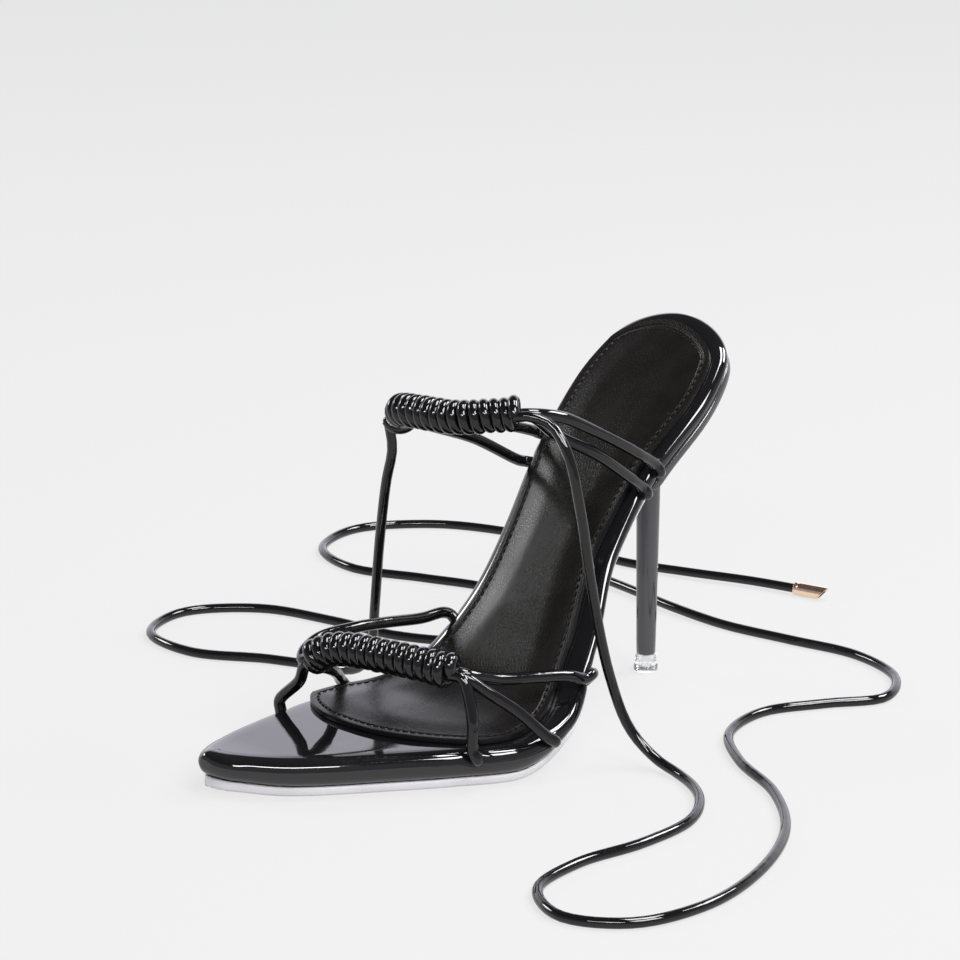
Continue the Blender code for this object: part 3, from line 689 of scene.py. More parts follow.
def leather_grain_group():
    """Pebbled grain with fine creases between the pebbles."""
    tree, nodes, given, result = make_group(
        "Leather Grain", "ShaderNodeTree",
        (("Vector", VECTOR, None), ("Pebble Size", FLOAT, 0.0009), ("Irregularity", FLOAT, 0.0006)),
        (("Height", FLOAT), ("Crease", FLOAT), ("Tone", FLOAT)))
    wobble = nodes.noise(given["Vector"], 420.0, 2.0)
    centred = nodes.vector("SUBTRACT", wobble.outputs["Color"], (0.5, 0.5, 0.5))
    moved = nodes.vector("ADD", given["Vector"], nodes.scale(centred, given["Irregularity"]))
    frequency = nodes.math("DIVIDE", 1.0, given["Pebble Size"])
    cells = nodes.add("ShaderNodeTexVoronoi", {"Vector": moved, "Scale": frequency, "Randomness": 0.95},
                      feature="DISTANCE_TO_EDGE")
    pebble = nodes.remap(cells.outputs["Distance"], 0.0, 0.22)
    broad = nodes.noise(given["Vector"], 130.0, 3.0)
    height = nodes.math("MULTIPLY_ADD", broad.outputs[0], 0.8, pebble)
    nodes.link(height, result.inputs["Height"])
    nodes.link(nodes.math("SUBTRACT", 1.0, pebble), result.inputs["Crease"])
    nodes.link(nodes.remap(broad.outputs[0], 0.35, 0.68), result.inputs["Tone"])
    return tree


def dust_group():
    """Thin dust: specks, and a haze that lies on what faces up."""
    tree, nodes, given, result = make_group(
        "Fine Dust", "ShaderNodeTree", (("Vector", VECTOR, None), ("Amount", FLOAT, 0.4)),
        (("Dust", FLOAT),))
    specks = nodes.add("ShaderNodeTexVoronoi", {
        "Vector": given["Vector"], "Scale": 260.0, "Randomness": 1.0})
    size = nodes.add("ShaderNodeSeparateColor", {"Color": specks.outputs["Color"]}).outputs[0]
    reach = nodes.math("MULTIPLY", nodes.math("POWER", size, 6.0), 0.09)
    speck = nodes.math("LESS_THAN", specks.outputs["Distance"], reach)
    normal = nodes.add("ShaderNodeNewGeometry").outputs["Normal"]
    upward = nodes.add("ShaderNodeSeparateXYZ", {0: normal}).outputs[2]
    haze = nodes.noise(given["Vector"], 45.0, 6.0, Roughness=0.7)
    veil = nodes.math("MULTIPLY", nodes.remap(haze.outputs[0], 0.5, 0.85), 0.12)
    total = nodes.math("MULTIPLY", nodes.math("MAXIMUM", speck, veil), nodes.remap(upward, 0.0, 0.9))
    nodes.link(nodes.math("MULTIPLY", total, given["Amount"]), result.inputs["Dust"])
    return tree


def shared_group(make):
    """The group that a function makes, built the first time it is asked for."""
    key = f"sandal_{make.__name__}"
    name = bpy.context.scene.get(key)
    if name is None:
        name = make().name
        bpy.context.scene[key] = name
    return bpy.data.node_groups[name]


def start_material(name, base, roughness, **sockets):
    """Material with a Principled shader; returns it with its node helper and shader."""
    material = bpy.data.materials.new(name)
    material.use_nodes = True
    material.diffuse_color = (*base, 1.0)
    nodes = Nodes(material.node_tree)
    shader = material.node_tree.nodes["Principled BSDF"]
    shader.inputs["Base Color"].default_value = (*base, 1.0)
    shader.inputs["Roughness"].default_value = roughness
    for label, value in sockets.items():
        shader.inputs[label.replace("_", " ")].default_value = value
    return material, nodes, shader


def place_group(nodes, make, vector, **inputs):
    node = nodes.add("ShaderNodeGroup")
    node.node_tree = shared_group(make)
    nodes.link(vector, node.inputs["Vector"])
    for label, value in inputs.items():
        nodes.link(value, node.inputs[label.replace("_", " ")])
    return node.outputs


def object_coordinates(nodes):
    return nodes.add("ShaderNodeTexCoord").outputs["Object"]


def patent_material(name, base, ripple=0.011, relief=0.00005, dust=0.25):
    """Black lacquer over leather: mirror gloss that ripples slightly."""
    material, nodes, shader = start_material(name, base, 0.06, IOR=1.62)
    spot = object_coordinates(nodes)
    lacquer = place_group(nodes, patent_ripple_group, spot, Ripple_Size=ripple)
    bits = place_group(nodes, dust_group, spot, Amount=dust)
    roughness = nodes.remap(lacquer["Smear"], 0.0, 1.0, 0.035, 0.085)
    roughness = nodes.math("MULTIPLY_ADD", bits["Dust"], 0.35, roughness)
    nodes.link(roughness, shader.inputs["Roughness"])
    dusty = nodes.mix_color(bits["Dust"], (*base, 1.0), (0.12, 0.12, 0.125, 1.0))
    nodes.link(dusty, shader.inputs["Base Color"])
    nodes.bump(shader, lacquer["Height"], relief)
    return material


def cord_material(name, base):
    """Rolled patent cord: gloss with faint lengthwise creases and its seam."""
    material, nodes, shader = start_material(name, base, 0.08, IOR=1.47)
    spot = object_coordinates(nodes)
    lacquer = place_group(nodes, patent_ripple_group, spot, Ripple_Size=0.004, Fine_Size=0.0008)
    uv = nodes.add("ShaderNodeUVMap").outputs[0]
    round_share = nodes.add("ShaderNodeSeparateXYZ", {0: uv})
    seam = nodes.math("ABSOLUTE", nodes.math("SUBTRACT", round_share.outputs[1], 0.62))
    groove = nodes.remap(seam, 0.0, 0.022, -1.0, 0.0)
    stretched = nodes.vector("MULTIPLY", uv, (60.0, 9.0, 0.0))
    creases = nodes.noise(stretched, 1.0, 3.0)
    height = nodes.math("MULTIPLY_ADD", groove, 0.9, lacquer["Height"])
    height = nodes.math("MULTIPLY_ADD", creases.outputs[0], 0.5, height)
    roughness = nodes.remap(lacquer["Smear"], 0.0, 1.0, 0.05, 0.11)
    nodes.link(roughness, shader.inputs["Roughness"])
    nodes.bump(shader, height, 0.00009)
    return material


def winding_material(name, base):
    """The same cord where it is wound: gloss with creases across its tight bends."""
    material, nodes, shader = start_material(name, base, 0.08, IOR=1.47)
    spot = object_coordinates(nodes)
    lacquer = place_group(nodes, patent_ripple_group, spot, Ripple_Size=0.0035, Fine_Size=0.0007)
    roughness = nodes.remap(lacquer["Smear"], 0.0, 1.0, 0.05, 0.10)
    nodes.link(roughness, shader.inputs["Roughness"])
    nodes.bump(shader, lacquer["Height"], 0.00014)
    return material


def sock_material(base, stitch_inset):
    """Grained leather with a satin finish, pressed down along its stitches, raw at the edge."""
    material, nodes, shader = start_material("sock_leather", base, 0.4, Specular_IOR_Level=0.16)
    spot = object_coordinates(nodes)
    grain = place_group(nodes, leather_grain_group, spot)
    bits = place_group(nodes, dust_group, spot, Amount=0.12)
    rim = nodes.add("ShaderNodeAttribute", attribute_name="rim_distance").outputs["Fac"]
    off_line = nodes.math("ABSOLUTE", nodes.math("SUBTRACT", rim, stitch_inset))
    pressed = nodes.remap(off_line, 0.0, 0.0009, -1.0, 0.0)
    edge = nodes.remap(rim, 0.0, 0.0008, 1.0, 0.0)
    streaks = nodes.noise(nodes.vector("MULTIPLY", spot, (1.0, 0.22, 0.22)), 95.0, 2.0)
    roughness = nodes.remap(streaks.outputs[0], 0.3, 0.7, 0.22, 0.28)
    roughness = nodes.math("MULTIPLY_ADD", grain["Crease"], 0.05, roughness)
    nodes.link(roughness, shader.inputs["Roughness"])
    painted_crease_shade = tuple(c * 0.55 for c in base)
    pale = tuple(c * 1.35 for c in base)
    tone = nodes.mix_color(grain["Tone"], (*base, 1.0), (*pale, 1.0))
    # Painted shade: the grain's creases are darkened towards a deeper tone.
    tone = nodes.mix_color(nodes.math("MULTIPLY", grain["Crease"], 0.15), tone, (*painted_crease_shade, 1.0))
    tone = nodes.mix_color(edge, tone, (0.006, 0.006, 0.006, 1.0))
    tone = nodes.mix_color(bits["Dust"], tone, (0.14, 0.14, 0.14, 1.0))
    nodes.link(tone, shader.inputs["Base Color"])
    fine = nodes.add("ShaderNodeBump", {"Height": grain["Height"], "Distance": 0.000016, "Strength": 1.0})
    line = nodes.add("ShaderNodeBump", {"Height": pressed, "Distance": 0.00035, "Strength": 1.0,
                                        "Normal": fine.outputs[0]})
    nodes.link(line.outputs[0], shader.inputs["Normal"])
    return material


def thread_material(base):
    """Twisted waxed thread."""
    material, nodes, shader = start_material("sock_thread", base, 0.6, Specular_IOR_Level=0.15)
    spot = object_coordinates(nodes)
    twist = nodes.add("ShaderNodeTexWave", {"Vector": spot, "Scale": 900.0, "Distortion": 1.5},
                      bands_direction="DIAGONAL")
    pale = tuple(c * 2.5 for c in base)
    tone = nodes.mix_color(twist.outputs["Fac"], (*base, 1.0), (*pale, 1.0))
    nodes.link(tone, shader.inputs["Base Color"])
    nodes.bump(shader, twist.outputs["Fac"], 0.00006)
    return material


def outsole_material(base):
    """White rubber, darkened as painted shade, faintly mottled, with fine ribs under the ball of the foot.
    """
    material, nodes, shader = start_material("white_outsole", base, 0.42, Subsurface_Weight=0.15)
    shader.inputs["Subsurface Radius"].default_value = (0.001, 0.001, 0.001)
    spot = object_coordinates(nodes)
    mottle = nodes.noise(spot, 70.0, 5.0)
    scuffed = tuple(c * 0.93 for c in base)
    tone = nodes.mix_color(nodes.remap(mottle.outputs[0], 0.4, 0.75), (*base, 1.0), (*scuffed, 1.0))
    nodes.link(tone, shader.inputs["Base Color"])
    nodes.link(nodes.remap(mottle.outputs[0], 0.3, 0.7, 0.36, 0.5), shader.inputs["Roughness"])
    tread = nodes.add("ShaderNodeAttribute", attribute_name="tread").outputs["Fac"]
    ribs = nodes.add("ShaderNodeTexWave", {
        "Vector": nodes.vector("MULTIPLY", spot, (0.35, 1.0, 0.0)), "Scale": 55.0, "Distortion": 0.0},
        bands_direction="Y")
    rib = nodes.math("MULTIPLY", nodes.remap(ribs.outputs["Fac"], 0.25, 0.75), tread)
    fine = nodes.noise(spot, 1400.0, 2.0)
    height = nodes.math("MULTIPLY_ADD", fine.outputs[0], 0.08, rib)
    nodes.bump(shader, height, 0.0004)
    return material


def clear_material(base):
    """Clear hard plastic with moulding haze."""
    material, nodes, shader = start_material("clear_plastic", base, 0.06, Transmission_Weight=0.92,
                                             IOR=1.46)
    spot = object_coordinates(nodes)
    haze = nodes.noise(spot, 380.0, 3.0)
    nodes.link(nodes.remap(haze.outputs[0], 0.3, 0.7, 0.03, 0.12), shader.inputs["Roughness"])
    nodes.bump(shader, haze.outputs[0], 0.00004)
    return material


def rose_gold_material(base):
    """Plated metal drawn lengthwise, a little darker where it is handled."""
    material, nodes, shader = start_material("rose_gold", base, 0.2, Metallic=1.0)
    uv = nodes.add("ShaderNodeUVMap").outputs[0]
    lines = nodes.noise(nodes.vector("MULTIPLY", uv, (120.0, 90.0, 0.0)), 1.0, 4.0)
    worn = nodes.noise(object_coordinates(nodes), 260.0, 3.0)
    nodes.link(nodes.remap(lines.outputs[0], 0.3, 0.7, 0.10, 0.26), shader.inputs["Roughness"])
    dark = tuple(c * 0.72 for c in base)
    tone = nodes.mix_color(nodes.remap(worn.outputs[0], 0.5, 0.8), (*base, 1.0), (*dark, 1.0))
    nodes.link(tone, shader.inputs["Base Color"])
    nodes.bump(shader, lines.outputs[0], 0.00002)
    return material


# Geometry node trees

def geometry_modifier(obj, tree, values):
    """Modifier whose inputs are set by socket identifier."""
    modifier = obj.modifiers.new(tree.name, "NODES")
    modifier.node_group = tree
    for item in tree.interface.items_tree:
        if item.item_type == "SOCKET" and item.in_out == "INPUT" and item.name in values:
            modifier[item.identifier] = values[item.name]
    obj.update_tag()


def winding_tree():
    """Cord wound round a line: the line's own points turn into a screw, then into a tube."""
    tree, nodes, given, result = make_group(
        "Wound Cord", "GeometryNodeTree",
        (("Geometry", GEOMETRY, None), ("Samples", "NodeSocketInt", 400), ("Start Angle", FLOAT, 0.0),
         ("Sweep", FLOAT, 100.0), ("Coil Radius", FLOAT, 0.0038), ("Start Radius", FLOAT, 0.001),
         ("End Radius", FLOAT, 0.001), ("End Share", FLOAT, 0.05), ("End Growth", FLOAT, 0.2),
         ("Cord Radius", FLOAT, 0.0017),
         ("Unevenness", FLOAT, 0.0002), ("Seed", FLOAT, 3.0), ("Material", "NodeSocketMaterial", None)),
        (("Geometry", GEOMETRY),))
    curve = nodes.add("GeometryNodeMeshToCurve", {"Mesh": given["Geometry"]}).outputs[0]
    curve = nodes.add("GeometryNodeResampleCurve", {"Curve": curve, "Count": given["Samples"]}).outputs[0]
    factor = nodes.add("GeometryNodeSplineParameter").outputs["Factor"]
    tangent = nodes.add("GeometryNodeInputTangent").outputs[0]
    rise = nodes.add("ShaderNodeSeparateXYZ", {0: tangent}).outputs[2]
    up = nodes.vector("NORMALIZE", nodes.vector("SUBTRACT", (0.0, 0.0, 1.0), nodes.scale(tangent, rise)))
    across = nodes.vector("CROSS_PRODUCT", tangent, up)
    angle = nodes.math("MULTIPLY_ADD", factor, given["Sweep"], given["Start Angle"])
    turns = nodes.math("MULTIPLY", angle, 0.16)
    noise = nodes.add("ShaderNodeTexNoise", {"W": nodes.math("ADD", turns, given["Seed"]), "Scale": 2.6,
                                             "Detail": 1.0}, noise_dimensions="1D")
    uneven = nodes.math("MULTIPLY", nodes.math("SUBTRACT", noise.outputs[0], 0.5), given["Unevenness"])
    near_start = nodes.remap(nodes.math("DIVIDE", factor, given["End Share"]), 0.0, 1.0, 1.0, 0.0)
    from_end = nodes.math("SUBTRACT", 1.0, factor)
    near_end = nodes.remap(nodes.math("DIVIDE", from_end, given["End Share"]), 0.0, 1.0, 1.0, 0.0)
    start_change = nodes.math("SUBTRACT", given["Start Radius"], given["Coil Radius"])
    end_change = nodes.math("SUBTRACT", given["End Radius"], given["Coil Radius"])
    radius = nodes.math("MULTIPLY_ADD", uneven, 2.0, given["Coil Radius"])
    radius = nodes.math("MULTIPLY_ADD", near_start, start_change, radius)
    radius = nodes.math("MULTIPLY_ADD", near_end, end_change, radius)
    out = nodes.vector("ADD", nodes.scale(up, nodes.math("COSINE", angle)),
                       nodes.scale(across, nodes.math("SINE", angle)))
    lean = nodes.scale(tangent, uneven)
    offset = nodes.vector("ADD", nodes.scale(out, radius), lean)
    wound = nodes.add("GeometryNodeSetPosition", {"Geometry": curve, "Offset": offset}).outputs[0]
    ring = nodes.add("GeometryNodeCurvePrimitiveCircle", {"Resolution": 14, "Radius": given["Cord Radius"]})
    last_turns = nodes.math("MULTIPLY", given["End Share"], 3.2)
    to_end = nodes.math("DIVIDE", nodes.math("MINIMUM", factor, from_end), last_turns)
    swelling = nodes.math("MULTIPLY", nodes.remap(to_end, 0.4, 1.0, 1.0, 0.0), given["End Growth"])
    solid = nodes.add("GeometryNodeCurveToMesh", {
        "Curve": wound, "Profile Curve": ring.outputs[0], "Fill Caps": True,
        "Scale": nodes.math("ADD", 1.0, swelling)}).outputs[0]
    smooth = nodes.add("GeometryNodeSetShadeSmooth", {"Geometry": solid}).outputs[0]
    real = nodes.add("GeometryNodeRealizeInstances", {"Geometry": smooth}).outputs[0]
    done = nodes.add("GeometryNodeSetMaterial", {
        "Geometry": real, "Material": given["Material"]}).outputs[0]
    nodes.link(done, result.inputs["Geometry"])
    return tree


def stitch_tree():
    """One rounded stitch at every step of a line, along the line."""
    tree, nodes, given, result = make_group(
        "Stitch Row", "GeometryNodeTree",
        (("Geometry", GEOMETRY, None), ("Pitch", FLOAT, 0.0036), ("Stitch Length", FLOAT, 0.0027),
         ("Thickness", FLOAT, 0.0005), ("Slant", FLOAT, 0.12), ("Material", "NodeSocketMaterial", None)),
        (("Geometry", GEOMETRY),))
    curve = nodes.add("GeometryNodeMeshToCurve", {"Mesh": given["Geometry"]}).outputs[0]
    sampled = nodes.add("GeometryNodeResampleCurve", {"Curve": curve, "Length": given["Pitch"]},
                        mode="LENGTH")
    ball = nodes.add("GeometryNodeMeshUVSphere", {"Segments": 8, "Rings": 6, "Radius": 0.5}).outputs[0]
    size = nodes.add("ShaderNodeCombineXYZ", {0: given["Stitch Length"], 1: given["Thickness"],
                                              2: given["Thickness"]}).outputs[0]
    shaped = nodes.add("GeometryNodeTransform", {"Geometry": ball, "Scale": size}).outputs[0]
    tangent = nodes.add("GeometryNodeInputTangent").outputs[0]
    aim = nodes.add("FunctionNodeAlignRotationToVector", {"Vector": tangent}, axis="X").outputs[0]
    turned = nodes.add("FunctionNodeRotateRotation", {"Rotation": aim}, rotation_space="LOCAL")
    slant = nodes.add("ShaderNodeCombineXYZ", {2: given["Slant"]}).outputs[0]
    nodes.link(slant, turned.inputs["Rotate By"])
    placed = nodes.add("GeometryNodeInstanceOnPoints", {
        "Points": sampled.outputs[0], "Instance": shaped, "Rotation": turned.outputs[0]}).outputs[0]
    real = nodes.add("GeometryNodeRealizeInstances", {"Geometry": placed}).outputs[0]
    smooth = nodes.add("GeometryNodeSetShadeSmooth", {"Geometry": real}).outputs[0]
    done = nodes.add("GeometryNodeSetMaterial", {
        "Geometry": smooth, "Material": given["Material"]}).outputs[0]
    nodes.link(done, result.inputs["Geometry"])
    return tree


def line_object(name, points, closed=False):
    """Mesh of edges along a line, which a geometry node tree builds on."""
    build = bmesh.new()
    spots = [build.verts.new(point) for point in points]
    for before, after in zip(spots, spots[1:]):
        build.edges.new((before, after))
    if closed:
        build.edges.new((spots[-1], spots[0]))
    return new_object(name, new_mesh(build, name))


# Sole pieces

def strand_route(last, cords, line, row, number):
    """From its place in the bundle, past the board's shoulder and into its side."""
    side, entry, foot, shoulder, vias = row
    radius = cords.strand_radius
    end, before = (line[0], line[1]) if side > 0 else (line[-1], line[-2])
    ahead = (end - before).normalized()
    ends = [last.side(place, side, depth * radius, out * radius)
            for place, (depth, out) in zip((shoulder, foot, foot), ENTRIES[entry])]
    leave = end + ahead * (cords.core_overhang + radius / 2)
    route = []
    for at, out, back, up in vias:
        route.append(leave.lerp(ends[0], at) + Vector((side * out, back, up)) * last.sizes.ball_width)
    towards = route[0] - leave
    towards = (towards - ahead * towards.dot(ahead)).normalized()
    towards *= cords.core_radius - radius - last.sizes.clearance
    inside = end + towards - ahead * (2.0 + number * 0.6) * MM
    return smooth_route([inside, leave + towards] + route + ends, 0.8 * MM)


def wrap_line(last, table, height):
    sizes = last.sizes
    points = [Vector((a * sizes.ball_width, b * sizes.sole_length, c * height)) + last.shift
              for a, b, c in table]
    return smooth_route(points, 1 * MM)


def all_strands(last, cords):
    """Routes of the front strands and of the ankle strands."""
    front = wrap_line(last, FRONT_WRAP_LINE, cords.front_height)
    ankle = wrap_line(last, ANKLE_WRAP_LINE, cords.ankle_height)
    routes = []
    for line, rows in ((front, FRONT_STRANDS), (ankle, ANKLE_STRANDS)):
        routes.append([strand_route(last, cords, line, row, n) for n, row in enumerate(rows, 1)])
    return front, ankle, routes


def settings():
    scene = bpy.context.scene
    return Last(scene.sandal_sole), scene.sandal_cords, scene.sandal_finish


class SANDAL_OT_board(bpy.types.Operator):
    """Build the patent board with its rounded shoulder, dimpled where the strands enter"""
    bl_idname = "sandal.board"
    bl_label = "Patent Board"

    def execute(self, context):
        last, cords, finish = settings()
        thickness = last.sizes.board_thickness
        profile = smooth_route([(a * 10, b * 10, 0.0) for a, b in BOARD_EDGE], 0.55)
        rounds = stations(150)
        build = bmesh.new()
        rings, plans = [], []
        for inset, level, _ in profile:
            plan = [last.edge(turn, side, inset / 10 * thickness) for turn, side in rounds]
            spots = [last.on(p.x, p.y, level / 10 * last.depth(p.y)) for p in plan]
            rings.append([build.verts.new(spot) for spot in spots])
            plans.append(plan)
        for lower, upper in zip(rings, rings[1:]):
            band(build, lower, upper)
        bridge(build, rings[0], plans[0], lambda p: last.on(p.x, p.y), 14)
        bridge(build, rings[-1], plans[-1], lambda p: last.on(p.x, p.y, last.depth(p.y)), 14)
        _, _, routes = all_strands(last, cords)
        for route in routes[0] + routes[1]:
            mouth = route[-4]
            inward = (route[-1] - mouth).normalized()
            for spot in build.verts:
                away = (spot.co - mouth).length
                if away < DIMPLE_REACH:
                    spot.co += inward * DIMPLE_DEPTH * math.exp(-(away / DIMPLE_RADIUS) ** 4)
        board = new_object("board", to_mesh(build, "board"))
        dress(board, patent_material("black_patent", finish.patent), "patent", "footbed")
        return {"FINISHED"}


def sock_plan(last, at, across):
    """Plan point of the sock: at runs from its front edge to the seat's back."""
    corner = SOCK_CORNER[1 if across > 0 else -1]
    front = turn_of(SOCK_FRONT + corner * (0.84 * abs(across) ** 2.6 + 0.16 * abs(across) ** 16))
    turn = front + (math.pi - front) * at
    outer = last.edge(turn, 1, smooth_value(SOCK_RIM, 1, share_of(turn)) * MM)
    inner = last.edge(turn, -1, smooth_value(SOCK_RIM, 2, share_of(turn)) * MM)
    return inner.lerp(outer, (across + 1) / 2)


def sock_outline(last):
    """Closed line round the sock in plan."""
    front = [sock_plan(last, 0.0, -1 + 2 * k / 120) for k in range(120)]
    outer = [sock_plan(last, k / 240, 1.0) for k in range(240)]
    inner = [sock_plan(last, 1 - k / 240, -1.0) for k in range(240)]
    return front + outer + inner


def surface_line(last, plan, spacing):
    """Evenly spaced points on the board's top along a closed line in plan."""
    line = [last.on(p.x, p.y) for p in plan]
    line.append(line[0].copy())
    return spread(line, spacing)[:-1]


class SANDAL_OT_sock(bpy.types.Operator):
    """Build the leather sock, padded and cut to its curved front edge"""
    bl_idname = "sandal.sock"
    bl_label = "Leather Sock"

    def execute(self, context):
        last, _, finish = settings()
        sizes = last.sizes
        border = surface_line(last, sock_outline(last), 0.3 * MM)
        tree = KDTree(len(border))
        for k, spot in enumerate(border):
            tree.insert(spot, k)
        tree.balance()
        columns = [math.sin(math.pi / 2 * (-1 + 2 * k / 44)) * 0.35 + (-1 + 2 * k / 44) * 0.65
                   for k in range(45)]
        rows = 130
        build = bmesh.new()
        grid = []
        for k in range(rows + 1):
            at = k / rows
            line = []
            for across in columns:
                plan = sock_plan(last, at, across)
                rim = tree.find(last.on(plan.x, plan.y))[2]
                swell = sizes.dome * smooth_step(1.6 * MM, 13 * MM, rim)
                line.append(build.verts.new(last.on(plan.x, plan.y, -0.8 * sizes.clearance - swell)))
            grid.append(line)
        for near, far in zip(grid, grid[1:]):
            for k in range(len(near) - 1):
                face(build, (near[k], near[k + 1], far[k + 1], far[k]))
        mesh = to_mesh(build, "sock", solid=False)
        distances = [tree.find(v.co)[2] for v in mesh.vertices]
        set_attribute(mesh, "rim_distance", distances)
        sock = new_object("sock", mesh)
        thick = sock.modifiers.new("thickness", "SOLIDIFY")
        thick.thickness = sizes.sock_thickness
        thick.offset = 1.0
        thick.use_even_offset = False
        soft = sock.modifiers.new("soft edge", "BEVEL")
        soft.width = 0.4 * MM
        soft.segments = 3
        soft.limit_method = "ANGLE"
        soft.angle_limit = math.radians(55)
        bake(sock)
        sock.data.shade_smooth()
        dress(sock, sock_material(finish.sock, sizes.stitch_inset), "sock", "insole")
        return {"FINISHED"}


class SANDAL_OT_stitches(bpy.types.Operator):
    """Sew the row of stitches that runs all round the sock"""
    bl_idname = "sandal.stitches"
    bl_label = "Sock Stitches"

    def execute(self, context):
        last, _, finish = settings()
        sizes = last.sizes
        inset = sizes.stitch_inset
        border = sock_outline(last)
        tree = KDTree(len(border))
        for k, spot in enumerate(border):
            tree.insert((*spot, 0.0), k)
        tree.balance()
        moved = []
        for k, spot in enumerate(border):
            along = border[(k + 2) % len(border)] - border[k - 2]
            inward = Vector((-along.y, along.x)).normalized()
            point = spot + inward * inset
            if tree.find((*point, 0.0))[2] > 0.95 * inset:
                moved.append(point)
        height = -0.8 * sizes.clearance - sizes.sock_thickness - 0.06 * MM
        line = [last.on(p.x, p.y, height) for p in moved]
        line.append(line[0].copy())
        row = line_object("sock_stitches", spread(line, 1.0 * MM)[:-1], closed=True)
        material = thread_material(finish.thread)
        geometry_modifier(row, stitch_tree(), {
            "Pitch": sizes.stitch_pitch, "Stitch Length": sizes.stitch_length, "Material": material})
        bake(row)
        dress(row, None, "sock")
        return {"FINISHED"}


class SANDAL_OT_outsole(bpy.types.Operator):
    """Build the white outsole with its softened edge and ribbed tread"""
    bl_idname = "sandal.outsole"
    bl_label = "Outsole"

    def execute(self, context):
        last, _, finish = settings()
        sizes = last.sizes
        end = turn_of(OUTSOLE_END)
        build = bmesh.new()
        tread_layer = build.verts.layers.float.new("tread")
        rings = []
        for k in range(131):
            turn = end * (k / 130) ** 1.15
            thin = 1.0 - 0.55 * smooth_step(*OUTSOLE_WAIST, share_of(turn))
            thickness = sizes.outsole_thickness * thin
            outer = last.edge(turn, 1, sizes.outsole_inset)
            inner = last.edge(turn, -1, sizes.outsole_inset)
            width = (outer - inner).length
            ring = []
            across = [outer.lerp(inner, c / 16) for c in range(1, 16)]
            walks = []
            for edge, other in ((outer, inner), (inner, outer)):
                walk = []
                for inset, level in OUTSOLE_SIDE:
                    part = min(inset * sizes.outsole_thickness / max(width, 1e-6), 0.5)
                    walk.append((edge.lerp(other, part), level))
                walks.append(walk)
            spots = [(plan, 0.0) for plan in reversed(across)] + walks[0]
            spots += [(plan, 1.0) for plan in across] + walks[1][::-1]
            for plan, level in spots:
                depth = last.depth(plan.y) + sizes.clearance + level * thickness
                spot = last.on(plan.x, plan.y, depth)
                vertex = build.verts.new((spot.x, spot.y, max(spot.z, 0.0)))
                rim = min((plan - outer).length, (plan - inner).length)
                inside = smooth_step(4 * MM, 5 * MM, rim) if level >= 1.0 else 0.0
                starts, ends = [smooth_step(*fade, share_of(turn)) for fade in OUTSOLE_TREAD]
                vertex[tread_layer] = inside * starts * (1 - ends)
                ring.append(vertex)
            rings.append(ring)
        for lower, upper in zip(rings, rings[1:]):
            band(build, lower, upper)
        build.faces.new(rings[-1])
        sole = new_object("sole", to_mesh(build, "sole"))
        dress(sole, outsole_material(finish.outsole), "outsole", "outsole")
        return {"FINISHED"}


# Heel

def rounded_plan(points, spacing, passes):
    """Closed plan line with even points and its corners eased."""
    line = [Vector((p.x, p.y, 0.0)) for p in points]
    line = spread(line + [line[0].copy()], spacing)[:-1]
    for _ in range(passes):
        line = [(line[k - 1] + line[k] * 2 + line[(k + 1) % len(line)]) / 4 for k in range(len(line))]
    return [Vector((p.x, p.y)) for p in line]


